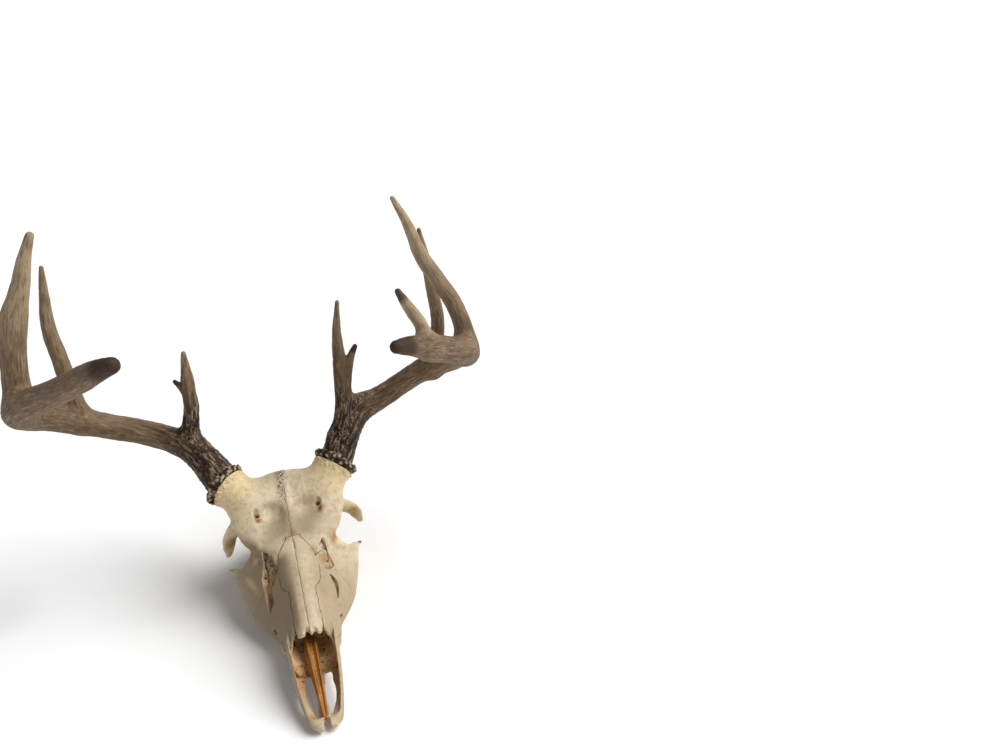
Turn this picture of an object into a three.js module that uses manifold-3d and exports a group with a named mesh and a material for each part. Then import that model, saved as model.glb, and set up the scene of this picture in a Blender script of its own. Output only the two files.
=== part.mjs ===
// White-tailed deer skull with its antlers, without the lower jaw, resting on its cheek teeth and on the
// two jugular processes at the back. Millimetres, +Z up, nose towards -Y, the deer's left side towards +X.
// The skull is modelled whole and parted into its bones by thin cuts along the sutures. Each antler is a
// swept main beam with its tines, parted at its forks.
import * as THREE from "three";
import { mergeVertices } from "three/addons/utils/BufferGeometryUtils.js";
import Module from "manifold-3d";

const wasm = await Module();
wasm.setup();

// ---------------------------------------------------------------- driving sizes
const SUTURE_GAP = 0.3; // space between two bones, and between a tine and its beam
const FAR = 400; // reaches past the whole skull, for cutting tools

const SKULL = {
  noseTip: 0.5, // y of the front of the premaxillae; y grows towards the back of the head
  nasalTip: 76, // where the nasal passage opens under the nasals
  nasion: 175, // where the nasals meet the frontals
  crest: 242, // highest line of the forehead, between the pedicles
  rear: 292,
};

const BONE_COLOUR = 0xd9cbae;
const VOMER_COLOUR = 0xb98136;
const ANTLER_COLOUR = 0x6b5641;
const BURR_COLOUR = 0x3d2c20;

// ---------------------------------------------------------------- small tools
// A smooth function through a few [position, value] pairs that never overshoots them.
function profile(pairs) {
  const last = pairs.length - 1;
  const slope = (i) => (pairs[i + 1][1] - pairs[i][1]) / (pairs[i + 1][0] - pairs[i][0]);
  const tangent = (i) => {
    if (i === 0) return slope(0);
    if (i === last) return slope(last - 1);
    const before = slope(i - 1);
    const after = slope(i);
    return before * after <= 0 ? 0 : (2 * before * after) / (before + after);
  };
  return (position) => {
    if (position <= pairs[0][0]) return pairs[0][1];
    if (position >= pairs[last][0]) return pairs[last][1];
    let i = 0;
    while (position > pairs[i + 1][0]) i++;
    const span = pairs[i + 1][0] - pairs[i][0];
    const t = (position - pairs[i][0]) / span;
    const t2 = t * t;
    const t3 = t2 * t;
    return (
      (2 * t3 - 3 * t2 + 1) * pairs[i][1] +
      (t3 - 2 * t2 + t) * span * tangent(i) +
      (3 * t2 - 2 * t3) * pairs[i + 1][1] +
      (t3 - t2) * span * tangent(i + 1)
    );
  };
}

// Evenly spaced positions from start to end, both included.
function steps(start, end, count) {
  return Array.from({ length: count + 1 }, (_, i) => start + ((end - start) * i) / count);
}

function toSolid(geometry) {
  const bare = geometry.clone();
  bare.deleteAttribute("normal");
  bare.deleteAttribute("uv");
  const merged = mergeVertices(bare, 1e-3);
  return new wasm.Manifold(
    new wasm.Mesh({
      numProp: 3,
      vertProperties: merged.attributes.position.array,
      triVerts: new Uint32Array(merged.index.array),
    }),
  );
}

function toGeometry(solid) {
  const mesh = solid.getMesh();
  const geometry = new THREE.BufferGeometry();
  geometry.setAttribute("position", new THREE.BufferAttribute(mesh.vertProperties, 3));
  geometry.setIndex(new THREE.BufferAttribute(mesh.triVerts, 1));
  geometry.computeVertexNormals();
  return geometry;
}

// A closed skin over rings of equal count, the first and last of which are capped by a fan to their middle.
function loft(rings) {
  const around = rings[0].length;
  const positions = rings.flat().flatMap((p) => [p.x, p.y, p.z]);
  const index = [];
  for (let i = 0; i + 1 < rings.length; i++) {
    for (let j = 0; j < around; j++) {
      const a = i * around + j;
      const b = i * around + ((j + 1) % around);
      index.push(a, b, b + around, a, b + around, a + around);
    }
  }
  const cap = (ring, base, flip) => {
    const middle = ring.reduce((sum, p) => sum.add(p), new THREE.Vector3()).divideScalar(around);
    const centre = positions.length / 3;
    positions.push(middle.x, middle.y, middle.z);
    for (let j = 0; j < around; j++) {
      const pair = [base + j, base + ((j + 1) % around)];
      index.push(centre, ...(flip ? pair : pair.reverse()));
    }
  };
  cap(rings[0], 0, false);
  cap(rings[rings.length - 1], (rings.length - 1) * around, true);
  const geometry = new THREE.BufferGeometry();
  geometry.setAttribute("position", new THREE.Float32BufferAttribute(positions, 3));
  geometry.setIndex(index);
  const solid = toSolid(geometry);
  if (solid.volume() > 0) return solid;
  for (let i = 0; i < index.length; i += 3) [index[i + 1], index[i + 2]] = [index[i + 2], index[i + 1]];
  geometry.setIndex(index);
  return toSolid(geometry);
}

// A loft along y whose sections are superellipses: wide is the half width, zWide its height, top and
// bottom the limits above and below it, and up and low the exponents, where 2 is an ellipse.
function sectionLoft({ from, to, count, around, wide, zWide, top, bottom, up, low }) {
  const rings = steps(from, to, count).map((y) =>
    steps(0, 2 * Math.PI, around)
      .slice(0, around)
      .map((angle) => {
        const [c, s] = [Math.cos(angle), Math.sin(angle)];
        const power = 2 / (s >= 0 ? up(y) : low(y));
        const reach = s >= 0 ? top(y) - zWide(y) : zWide(y) - bottom(y);
        return new THREE.Vector3(
          wide(y) * Math.sign(c) * Math.abs(c) ** power,
          y,
          zWide(y) + reach * Math.sign(s) * Math.abs(s) ** power,
        );
      }),
  );
  return loft(rings);
}

const even = (value) => () => value;

// An ellipsoid, turned by the given angles in degrees.
function ellipsoid(centre, radii, turn, detail) {
  const geometry = new THREE.SphereGeometry(1, ...detail);
  geometry.scale(...radii);
  geometry.applyMatrix4(
    new THREE.Matrix4().makeRotationFromEuler(new THREE.Euler(...turn.map(THREE.MathUtils.degToRad))),
  );
  geometry.translate(...centre);
  return toSolid(geometry);
}

// A tube with a changing radius through points, in count sections of which only those from first to last
// are made; flat squeezes its section across the given direction.
function branch(points, radii, options = {}) {
  const { around = 9, count = 12, grow = 0, flat = 1, flatAcross = [0, 0, 1] } = options;
  const { first = 0, last = count } = options;
  const path = new THREE.CatmullRomCurve3(points.map((p) => new THREE.Vector3(...p)));
  const gap = last < count ? SUTURE_GAP / path.getLength() : 0;
  const radius = profile(radii.map((r, i) => [i / (radii.length - 1), r]));
  const across = new THREE.Vector3(...flatAcross);
  let normal = path.getTangentAt(0).cross(new THREE.Vector3(0.3, 0.2, 1)).normalize();
  const rings = steps(0, last / count, last).map((share, i) => {
    const t = i === last ? share - gap : share;
    const centre = path.getPointAt(t);
    const tangent = path.getTangentAt(t);
    normal = normal.clone().addScaledVector(tangent, -normal.dot(tangent)).normalize();
    const binormal = tangent.clone().cross(normal);
    return steps(0, 2 * Math.PI, around)
      .slice(0, around)
      .map((angle) => {
        const offset = new THREE.Vector3()
          .addScaledVector(normal, Math.cos(angle))
          .addScaledVector(binormal, Math.sin(angle))
          .multiplyScalar(radius(t) + grow);
        offset.addScaledVector(across, (flat - 1) * offset.dot(across));
        return offset.add(centre);
      });
  });
  return loft(rings.slice(first));
}

// A flat outline in the (a, b) plane, pulled straight along the third axis. plane "yz" is a side view and
// its depth runs along x; plane "xy" is a plan and its depth runs along z.
function prism(outline, plane, low, high) {
  const shape = new THREE.Shape(outline.map(([a, b]) => new THREE.Vector2(a, b)));
  const geometry = new THREE.ExtrudeGeometry(shape, { depth: high - low, bevelEnabled: false });
  geometry.translate(0, 0, low);
  const sideways = new THREE.Matrix4().set(0, 0, 1, 0, 1, 0, 0, 0, 0, 1, 0, 0, 0, 0, 0, 1);
  if (plane === "yz") geometry.applyMatrix4(sideways);
  return toSolid(geometry);
}

function box(low, high) {
  const size = high.map((v, i) => v - low[i]);
  const geometry = new THREE.BoxGeometry(...size);
  geometry.translate(...low.map((v, i) => v + size[i] / 2));
  return toSolid(geometry);
}

// The same solid on the other side of the midline.
function mirrored(solid) {
  const geometry = toGeometry(solid).toNonIndexed();
  const position = geometry.attributes.position.array;
  for (let i = 0; i < position.length; i += 9) {
    for (let k = i; k < i + 3; k++) {
      [position[k], position[k + 3]] = [position[k + 3], position[k]];
    }
  }
  return toSolid(geometry.scale(-1, 1, 1));
}

function both(solid) {
  return solid.add(mirrored(solid));
}

// The largest body of a solid; crumbs that a cut leaves are dropped.
function mainBody(solid) {
  const { vertProperties, triVerts } = solid.getMesh();
  const owner = Array.from({ length: vertProperties.length / 3 }, (_, i) => i);
  const root = (i) => {
    while (owner[i] !== i) i = owner[i] = owner[owner[i]];
    return i;
  };
  for (let t = 0; t < triVerts.length; t += 3) {
    owner[root(triVerts[t + 1])] = root(triVerts[t]);
    owner[root(triVerts[t + 2])] = root(triVerts[t]);
  }
  const bodies = new Map();
  for (let t = 0; t < triVerts.length; t += 3) {
    const key = root(triVerts[t]);
    if (!bodies.has(key)) bodies.set(key, []);
    bodies.get(key).push(...triVerts.subarray(t, t + 3));
  }
  const largest = [...bodies.values()].reduce((a, b) => (b.length > a.length ? b : a));
  const geometry = new THREE.BufferGeometry();
  geometry.setAttribute("position", new THREE.BufferAttribute(vertProperties, 3));
  geometry.setIndex(largest);
  return toSolid(geometry.toNonIndexed());
}

function union(...solids) {
  return solids.reduce((a, b) => a.add(b));
}

// ---------------------------------------------------------------- the skull, whole
const dorsal = profile([
  [60, 46], [77, 54], [120, 70], [SKULL.nasion, 88], [205, 102], [SKULL.crest, 120], [266, 106],
  [SKULL.rear, 74],
]);
const nasalHalf = profile([
  [70, 10.5], [90, 11.8], [110, 13.2], [140, 17], [159, 17], [168, 13.5], [SKULL.nasion, 7],
]);

// Muzzle and cheeks, from the premaxillary suture to the orbits.
function face() {
  return sectionLoft({
    from: 60, to: 206, count: 7, around: 14,
    wide: profile([
      [60, 19.5], [77, 21.5], [100, 26.5], [115, 33], [130, 43], [150, 52.5], [172, 57.5], [190, 56],
      [206, 40],
    ]),
    zWide: profile([[60, 24], [100, 21], [130, 23], [150, 27], [175, 38], [206, 50]]),
    top: (y) => dorsal(y) - 1.5,
    bottom: profile([[60, 12], [95, 12], [110, 9], [170, 10], [187, 25], [206, 36]]),
    up: profile([[60, 2.5], [77, 2.5], [100, 2.1], [130, 1.55], [150, 1.5], [175, 1.6], [206, 1.9]]),
    low: profile([[60, 2.8], [120, 2.4], [206, 2]]),
  });
}

function nasals() {
  return sectionLoft({
    from: SKULL.nasalTip - 4, to: SKULL.nasion - 2, count: 5, around: 10,
    wide: nasalHalf,
    zWide: (y) => dorsal(y) - 7,
    top: dorsal,
    bottom: (y) => dorsal(y) - 12,
    up: even(2.2), low: even(2),
  });
}

// Forehead plate with the supraorbital rims.
function forehead() {
  return sectionLoft({
    from: 160, to: 252, count: 6, around: 12,
    wide: profile([[160, 26], [176, 38], [192, 51], [205, 55], [222, 52], [240, 42], [252, 34]]),
    zWide: (y) => dorsal(y) - profile([[160, 12], [200, 11], [230, 14], [252, 18]])(y),
    top: dorsal,
    bottom: (y) => dorsal(y) - profile([[160, 24], [200, 18], [252, 34]])(y),
    up: even(2.5), low: even(2),
  });
}

function braincase() {
  const vault = sectionLoft({
    from: 196, to: SKULL.rear - 4, count: 5, around: 12,
    wide: profile([[196, 17], [215, 30], [240, 40], [262, 41], [280, 35], [288, 28]]),
    zWide: profile([[196, 66], [240, 66], [288, 58]]),
    top: (y) => dorsal(y) - 1,
    bottom: profile([[196, 34], [240, 30], [288, 33]]),
    up: even(2.3), low: even(2.2),
  });
  const nuchalCrest = branch(
    [[-37, 270, 56], [-26, 281, 72], [0, 287, 79], [26, 281, 72], [37, 270, 56]],
    [3, 4, 5, 4, 3], { around: 6, count: 4 },
  );
  const bulla = ellipsoid([24, 248, 24], [9, 13, 11], [0, 0, 12], [8, 4]);
  const condyle = ellipsoid([13, 287, 36], [9, 9, 12], [0, 0, -20], [8, 4]);
  const zygomaticStub = branch(
    [[32, 242, 50], [40, 239, 48], [46, 235, 47]], [8, 6, 4], { around: 8, count: 3, flat: 0.7 },
  );
  const canal = ellipsoid([0, SKULL.rear + 2, 50], [10, 22, 9.5], [0, 0, 0], [8, 4]);
  return union(vault, nuchalCrest, both(union(bulla, jugularProcess(), condyle, zygomaticStub)))
    .subtract(canal);
}

// The upright process beside the condyle, which stands on a small flat at floor level.
function jugularProcess() {
  const [x, y, rise, sides] = [27, 272, 42, 6];
  const radius = profile([[0, 4.5], [rise / 2, 7.2], [rise, 13]]);
  const rings = steps(0, rise, 3).map((z) =>
    steps(0, 2 * Math.PI, sides).slice(0, sides).map((angle) => new THREE.Vector3(
      x + 0.6 * radius(z) * Math.cos(angle), y + radius(z) * Math.sin(angle), z,
    )),
  );
  return loft(rings);
}

// Floor of the braincase, with the pterygoid plates.
function base() {
  const keel = sectionLoft({
    from: 150, to: 284, count: 4, around: 8,
    wide: profile([[150, 24], [185, 16], [230, 13], [284, 15]]),
    zWide: profile([[150, 26], [284, 34]]),
    top: profile([[150, 50], [284, 48]]),
    bottom: profile([[150, 18], [200, 20], [240, 26], [284, 27]]),
    up: even(2.5), low: even(2.5),
  });
  const pterygoid = branch(
    [[15, 168, 24], [14, 190, 16], [13, 208, 15]], [4, 3.5, 2.5],
    { around: 6, count: 3, flat: 0.5, flatAcross: [1, 0, 0] },
  );
  return keel.add(both(pterygoid));
}

// The arched roof of the mouth, between the two rows of teeth.
function palate() {
  return sectionLoft({
    from: 98, to: 184, count: 2, around: 10,
    wide: even(18), zWide: even(-4), top: even(16), bottom: even(-10), up: even(2.4), low: even(2),
  });
}

// The six cheek teeth of one side, in a gently bowed row, with flat crowns at floor level.
const TEETH = { first: 102, lengths: [10.5, 11.5, 12, 14.5, 15.5, 14], height: 18, width: 12.5 };
const toothRow = profile([[102, 22.5], [135, 27], [180, 29]]);
const TOOTH_OUTLINE = [[-0.8, -1], [-1, 0], [-0.8, 1], [0.8, 1], [1, 0], [0.8, -1]]; // across, along
function cheekTeeth() {
  let y = TEETH.first;
  const row = [];
  for (const length of TEETH.lengths) {
    const middle = y + length / 2;
    const ring = (z, halfWidth, halfLength) =>
      TOOTH_OUTLINE.map(([across, along]) => new THREE.Vector3(
        toothRow(middle) + across * halfWidth, middle + along * halfLength, z,
      ));
    row.push(loft([
      ring(0, 0.42 * TEETH.width, 0.47 * length), ring(TEETH.height, 0.49 * TEETH.width, 0.51 * length),
    ]));
    y += length;
  }
  return union(...row);
}

// Zygomatic bone below the orbit, ending in the broken stumps of its two arches.
function zygomatic() {
  const body = branch(
    [[44, 156, 38], [51, 172, 41], [56, 186, 41], [59, 196, 41]], [12, 13, 10, 6],
    { around: 8, count: 4, flat: 0.6, flatAcross: [0.94, -0.34, 0] },
  );
  const spur = branch(
    [[54, 190, 40], [60, 199, 42], [67, 204, 42]], [7, 4.5, 1.6], { around: 6, count: 4, flat: 0.7 },
  );
  const rim = branch(
    [[33, 180, 79], [41, 178, 66], [49, 181, 54], [57, 190, 46]], [4.5, 5, 5, 4.5],
    { around: 6, count: 4 },
  );
  return union(body, spur, rim);
}

// The free stumps of the frontals' bars behind the orbits; the right one is broken off further down.
function postorbitalSpurs() {
  const shape = { around: 8, count: 4, flat: 0.5 };
  const radii = [8, 8.5, 8.5, 4.6];
  return union(
    branch([[46, 213, 89], [57, 215, 84], [65.5, 214, 77], [70.5, 212, 66]], radii,
      { ...shape, flatAcross: [0.5, 0.85, 0] }),
    branch([[-46, 213, 89], [-57, 215, 82], [-65, 214, 71], [-69.5, 211, 57]], radii,
      { ...shape, flatAcross: [-0.5, 0.85, 0] }),
  );
}

function pedicle() {
  return branch(
    [[20, 220, 84], [35, 230, 96], [47, 240, 108], [56, 247.5, 117]], [23, 21.5, 19, 20.5], { count: 3 },
  );
}

// Premaxillae: a spoon of two thin walls that rise to the nasals, with a floor pierced by two long slots.
function premaxillae() {
  const wallTop = profile([[0, 9.5], [8, 13.5], [14, 16.5], [30, 27], [50, 40], [72, 51], [90, 58]]);
  const outer = {
    from: SKULL.noseTip, to: 90, count: 7, around: 10,
    wide: profile([[0, 8], [6, 14.5], [22, 18.5], [45, 21.5], [77, 24], [90, 26]]),
    zWide: profile([[0, 7], [30, 17], [90, 28]]),
    top: wallTop,
    bottom: profile([[0, 4], [12, 4.5], [60, 11], [90, 12]]),
    up: even(3.2), low: even(2.8),
  };
  const floor = profile([[4, 13.5], [9, 11], [15, 8.6], [30, 10.2], [60, 14.5], [92, 16.5]]);
  const inner = {
    ...outer,
    from: 4, to: 96,
    wide: (y) => outer.wide(y) - profile([[4, 5], [12, 3.4], [90, 3]])(y),
    zWide: (y) => floor(y) + 5,
    top: (y) => wallTop(y) + 22,
    bottom: floor,
  };
  const slot = ellipsoid([7.4, 36, 10], [5, 25, 30], [0, 0, -4], [10, 4]);
  const notch = ellipsoid([0, 0, 5], [3, 11, 20], [0, 0, 0], [6, 4]);
  return sectionLoft(outer).subtract(union(sectionLoft(inner), both(slot), notch));
}

// The nasal passage: open to the sky in front of the nasals, a closed chamber with a blind end under them.
function nasalPassage() {
  const shape = { around: 10, zWide: even(30), low: even(2.4) };
  const open = sectionLoft({
    ...shape, from: 40, to: SKULL.nasalTip, count: 2,
    wide: profile([[40, 17], [SKULL.nasalTip, 18.5]]),
    top: even(90),
    bottom: profile([[40, 13], [90, 17]]),
    up: even(2.6),
  });
  const covered = sectionLoft({
    ...shape, from: SKULL.nasalTip - 1, to: 112, count: 3,
    wide: profile([[75, 18.3], [100, 18], [112, 8]]),
    top: (y) => dorsal(y) - 6,
    bottom: profile([[75, 15.5], [112, 26]]),
    up: even(2.2),
  });
  return open.add(covered);
}

// The trough of the vomer, along the middle of the muzzle's floor.
function vomer(grow = 0) {
  return branch(
    [[0, 14, 9], [0, 40, 16], [0, 70, 24], [0, 106, 36]], [2.8, 3.6, 5, 6],
    { around: 8, count: 5, flat: 1.5, grow },
  );
}

// The hollow of one orbit, between the forehead, the cheek bone and the braincase.
function orbit() {
  return ellipsoid([54, 206, 66], [32, 24, 23], [0, 0, -18], [12, 6]);
}

// The gaps in front of the orbits, between nasal, frontal, lacrimal and maxilla: one long one on the
// right, and two parted by a bridge of bone on the left.
function lacrimalGaps() {
  return union(
    branch([[-28, 173, 85], [-25, 157, 75], [-26.5, 145, 67], [-31, 132, 57], [-33.5, 121, 46]],
      [2.2, 7, 7.2, 4.8, 1.4], { around: 6, count: 5 }),
    branch([[28, 173, 84], [25.5, 160, 75], [28, 150, 66], [31, 145, 60]], [1.8, 6.4, 5.6, 2],
      { around: 6, count: 4 }),
    branch([[31, 140, 58], [30.5, 133, 54], [32, 120, 44]], [1.4, 2.3, 1.2], { around: 6, count: 3 }),
  );
}

function wholeSkull() {
  return union(face(), nasals(), forehead(), braincase(), base(), both(union(cheekTeeth(), pedicle())))
    .subtract(union(both(orbit()), palate()))
    .add(union(both(zygomatic()), postorbitalSpurs()))
    .subtract(nasalPassage())
    .add(premaxillae())
    .subtract(union(lacrimalGaps(), vomer(SUTURE_GAP)))
    .subtract(union(...Object.values(ANTLERS).map((antler) => burr(antler, SUTURE_GAP))));
}

// ---------------------------------------------------------------- parting the skull into its bones
// Each cut takes what lies in a region, then removes the region grown by the suture gap from the rest.
function nasalRegion(grow) {
  const start = SKULL.nasalTip - 10;
  const rows = steps(start, SKULL.nasion, 8);
  const edge = rows.map((y) => [nasalHalf(y) + grow, y + grow]);
  const otherEdge = rows.reverse().map((y) => [-nasalHalf(y) - grow, y + grow]);
  const end = SKULL.nasion + 6;
  const above = [[start, 45 - grow], [120, 63 - grow], [end, 82 - grow], [end, FAR], [start, FAR]];
  return prism([...edge, ...otherEdge], "xy", 40, FAR).intersect(prism(above, "yz", -FAR, FAR));
}

function premaxillaRegion(grow) {
  const outline = [
    [-10, -10], [58 + grow, -10], [60 + grow, 14], [76 + grow, 44], [98 + grow, 60], [98 + grow, 90],
    [-10, 90],
  ];
  return prism(outline, "yz", -FAR, FAR);
}

function frontalRegion(grow) {
  const [front, back, above] = [166 - grow, 222 + grow, 84 - grow];
  const rest = [[FAR, FAR], [front, FAR]];
  const plate = [
    [front, 72 - grow], [190, 76 - grow], [205, 72 - grow], [206, 52 - grow], [back, 52 - grow],
    [back, 78 - grow], [244 + grow, above], [250 + grow, 118], ...rest,
  ];
  const aroundPedicle = [
    [214 - grow, above], [240 + grow, above], [262 + grow, 102 - grow], [FAR, 102 - grow], [FAR, FAR],
    [214 - grow, FAR],
  ];
  return prism(plate, "yz", -FAR, FAR).add(both(prism(aroundPedicle, "yz", 30 - grow, FAR)));
}

function zygomaticRegion(grow) {
  const plan = [[30 - grow, 152], [48 - grow, 140], [FAR, 140], [FAR, 216], [30 - grow, 216]];
  const inner = [[150 - grow, 30 - grow], [FAR, 30 - grow], [FAR, 80], [150 - grow, 80]];
  return both(prism(plan, "xy", -FAR, FAR).intersect(prism(inner, "yz", 0, FAR)));
}

function maxillaRegion(grow) {
  return box([-FAR, -FAR, -FAR], [FAR, 182 + grow, FAR]);
}

function occipitalRegion(grow) {
  const [low, high] = [262 - grow, 277 - grow];
  return prism([[low, -FAR], [FAR, -FAR], [FAR, FAR], [high, FAR], [high, 76], [low, 52]], "yz", -FAR, FAR);
}

function temporalRegion(grow) {
  return both(box([19 - grow, 222 - grow, -FAR], [FAR, FAR, 78 + grow]));
}

function parietalRegion(grow) {
  return box([-FAR, 205 - grow, 56 - grow], [FAR, FAR, FAR]);
}

// In the order in which they are taken; a paired bone is parted again along the midline.
const BONES = [
  { name: "nasal", region: nasalRegion, paired: true },
  { name: "premaxilla", region: premaxillaRegion, paired: true },
  { name: "frontal", region: frontalRegion, paired: true },
  { name: "zygomatic", region: zygomaticRegion, paired: true },
  { name: "maxilla", region: maxillaRegion, paired: true },
  { name: "occipital", region: occipitalRegion },
  { name: "temporal", region: temporalRegion, paired: true },
  { name: "parietal", region: parietalRegion },
];

function partBones() {
  const bones = new Map([["vomer", vomer()]]);
  const leftHalf = box([SUTURE_GAP / 2, -FAR, -FAR], [FAR, FAR, FAR]);
  const rightHalf = box([-FAR, -FAR, -FAR], [-SUTURE_GAP / 2, FAR, FAR]);
  let rest = wholeSkull();
  for (const { name, region, paired } of BONES) {
    const found = rest.intersect(region(0));
    if (paired) {
      bones.set(name + "_left", mainBody(found.intersect(leftHalf)));
      bones.set(name + "_right", mainBody(found.intersect(rightHalf)));
    } else {
      bones.set(name, mainBody(found));
    }
    rest = rest.subtract(region(SUTURE_GAP));
  }
  bones.set("sphenoid", mainBody(rest));
  return bones;
}

// ---------------------------------------------------------------- antlers
// Points run from the root outwards, and each list of radii is spread evenly along its branch. aim is the
// way the burr faces, and forks gives the sections, out of BEAM_SECTIONS, at which the beam is parted,
// just past each tine.
const BEAM_SECTIONS = 24;
const BURR = { radius: 24.5, depth: 9 };
const ANTLERS = {
  left: {
    aim: [0.62, 0.52, 0.59],
    beam: {
      points: [
        [54.5, 246.2, 115.5], [60, 250.8, 120.8], [74, 267, 138.5], [90, 282, 153], [127, 291, 165.5],
        [152, 291, 178.5], [175, 283, 193], [193, 260, 211], [200, 231, 230], [192, 204, 245],
        [172, 179, 260], [151, 155, 277], [132, 138, 290], [115, 121, 300],
      ],
      radii: [18, 15.5, 14, 12.5, 12, 13.5, 15, 15, 13.5, 13, 13, 10, 6],
    },
    forks: [5, 11, 16, 20],
    tines: {
      brow: {
        points: [[68, 262, 142], [75, 266, 174], [78, 272, 212], [80, 278, 253], [85, 282, 283]],
        radii: [10, 8, 7.5, 4.8, 2.2],
      },
      brow_fork: {
        points: [[78, 271, 210], [86, 272, 224], [96, 272, 237]], radii: [5.5, 4.5, 2.4], on: "brow",
      },
      second: {
        points: [
          [176, 279, 190], [185, 281, 228], [187, 283, 251], [184, 286, 280], [181, 291, 316],
          [178, 295, 343],
        ],
        radii: [11, 8, 7, 6, 4.6, 2.2],
      },
      third: {
        points: [
          [203, 229, 229], [202, 231, 255], [195, 237, 281], [183, 241, 305], [169, 247, 331],
          [159, 254, 364], [147, 259, 391],
        ],
        radii: [12, 9.5, 8.5, 8, 7, 5, 2.4],
      },
      fourth: {
        points: [[151, 155, 277], [145, 160, 300], [137, 164, 315], [129, 168, 332]],
        radii: [9, 6.5, 5.5, 3],
      },
    },
  },
  right: {
    aim: [-0.64, 0.65, 0.41],
    beam: {
      points: [
        [-54.2, 245.4, 115.2], [-60, 251.2, 119], [-80, 280, 143], [-104, 300, 153], [-133, 314, 161],
        [-158, 317, 170], [-182, 314, 183], [-206, 302, 200], [-220, 281, 218], [-219, 254, 236],
        [-201, 226, 256], [-173, 194, 277], [-148, 168, 296], [-127, 147, 312], [-113, 133, 321],
      ],
      radii: [18, 15.5, 14, 13, 13, 13.5, 14, 16, 15.5, 13.5, 12, 11.7, 10.5, 7],
    },
    forks: [6, 12, 16],
    tines: {
      brow: {
        points: [[-84, 288, 156], [-76, 292, 186], [-74, 295, 213], [-72, 300, 248]],
        radii: [10, 7.5, 6.5, 2.4],
      },
      brow_fork: {
        points: [[-75, 294, 202], [-80, 295, 211], [-86, 299, 219]], radii: [5, 4, 2.2], on: "brow",
      },
      second: {
        points: [
          [-184, 312, 186], [-186, 316, 222], [-188, 320, 253], [-191, 327, 286], [-187, 334, 322],
          [-184, 338, 344],
        ],
        radii: [11, 9, 8, 7, 5, 2.2],
      },
      third: {
        points: [
          [-219, 256, 236], [-217, 259, 261], [-213, 261, 287], [-204, 263, 321], [-190, 263, 352],
          [-179, 265, 380], [-171, 266, 398],
        ],
        radii: [14, 12, 11.5, 12, 9, 6.5, 4],
      },
    },
  },
};

// The rough ring at the foot of an antler.
function burr({ aim, beam }, grow = 0) {
  const seat = new THREE.Vector3(...beam.points[0]);
  const along = new THREE.Vector3(...aim).normalize();
  const at = (distance) => seat.clone().addScaledVector(along, distance).toArray();
  const radii = [BURR.radius * 0.86, BURR.radius, BURR.radius * 0.72];
  return branch([at(-grow), at(BURR.depth * 0.5), at(BURR.depth)], radii, { around: 14, count: 3, grow });
}

function antlerPieces(antler) {
  const { beam, forks, tines } = antler;
  const pieces = new Map();
  const whole = branch(beam.points, beam.radii, { count: BEAM_SECTIONS, grow: SUTURE_GAP });
  const names = ["beam_base", "beam_middle", "beam_bend", "beam_front"].slice(0, forks.length);
  const marks = [0, ...forks, BEAM_SECTIONS];
  [...names, "beam_tip"].forEach((name, i) => {
    const range = { count: BEAM_SECTIONS, first: marks[i], last: marks[i + 1] };
    pieces.set(name, branch(beam.points, beam.radii, range));
  });
  pieces.set("beam_base", pieces.get("beam_base").add(burr(antler)));
  const tineDetail = { around: 8, count: 6 };
  for (const [name, { points, radii, on }] of Object.entries(tines)) {
    const host = on
      ? branch(tines[on].points, tines[on].radii, { ...tineDetail, grow: SUTURE_GAP })
      : whole;
    const tine = branch(points, radii, on ? { around: 6, count: 3 } : tineDetail);
    pieces.set(name + "_tine", mainBody(tine.subtract(host)));
  }
  return pieces;
}

// ---------------------------------------------------------------- the part
const group = new THREE.Group();
function addNode(name, solid, colour, roughness) {
  const material = new THREE.MeshStandardMaterial({ color: colour, roughness, metalness: 0 });
  const mesh = new THREE.Mesh(toGeometry(solid), material);
  mesh.name = name;
  group.add(mesh);
}

for (const [name, solid] of partBones()) {
  addNode(name, solid, name === "vomer" ? VOMER_COLOUR : BONE_COLOUR, 0.65);
}
for (const [side, antler] of Object.entries(ANTLERS)) {
  for (const [name, solid] of antlerPieces(antler)) {
    const colour = name === "beam_base" ? BURR_COLOUR : ANTLER_COLOUR;
    addNode("antler_" + side + "_" + name, solid, colour, 0.6);
  }
}

// The origin is the middle of the skull's outline on the floor.
const bounds = new THREE.Box3().setFromObject(group);
const middle = bounds.getCenter(new THREE.Vector3());
group.position.set(-middle.x, -middle.y, -bounds.min.z);

export default group;
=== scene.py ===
import bpy
import math
from functools import reduce
import numpy as np
import openvdb
from mathutils import Matrix, Vector


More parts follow.
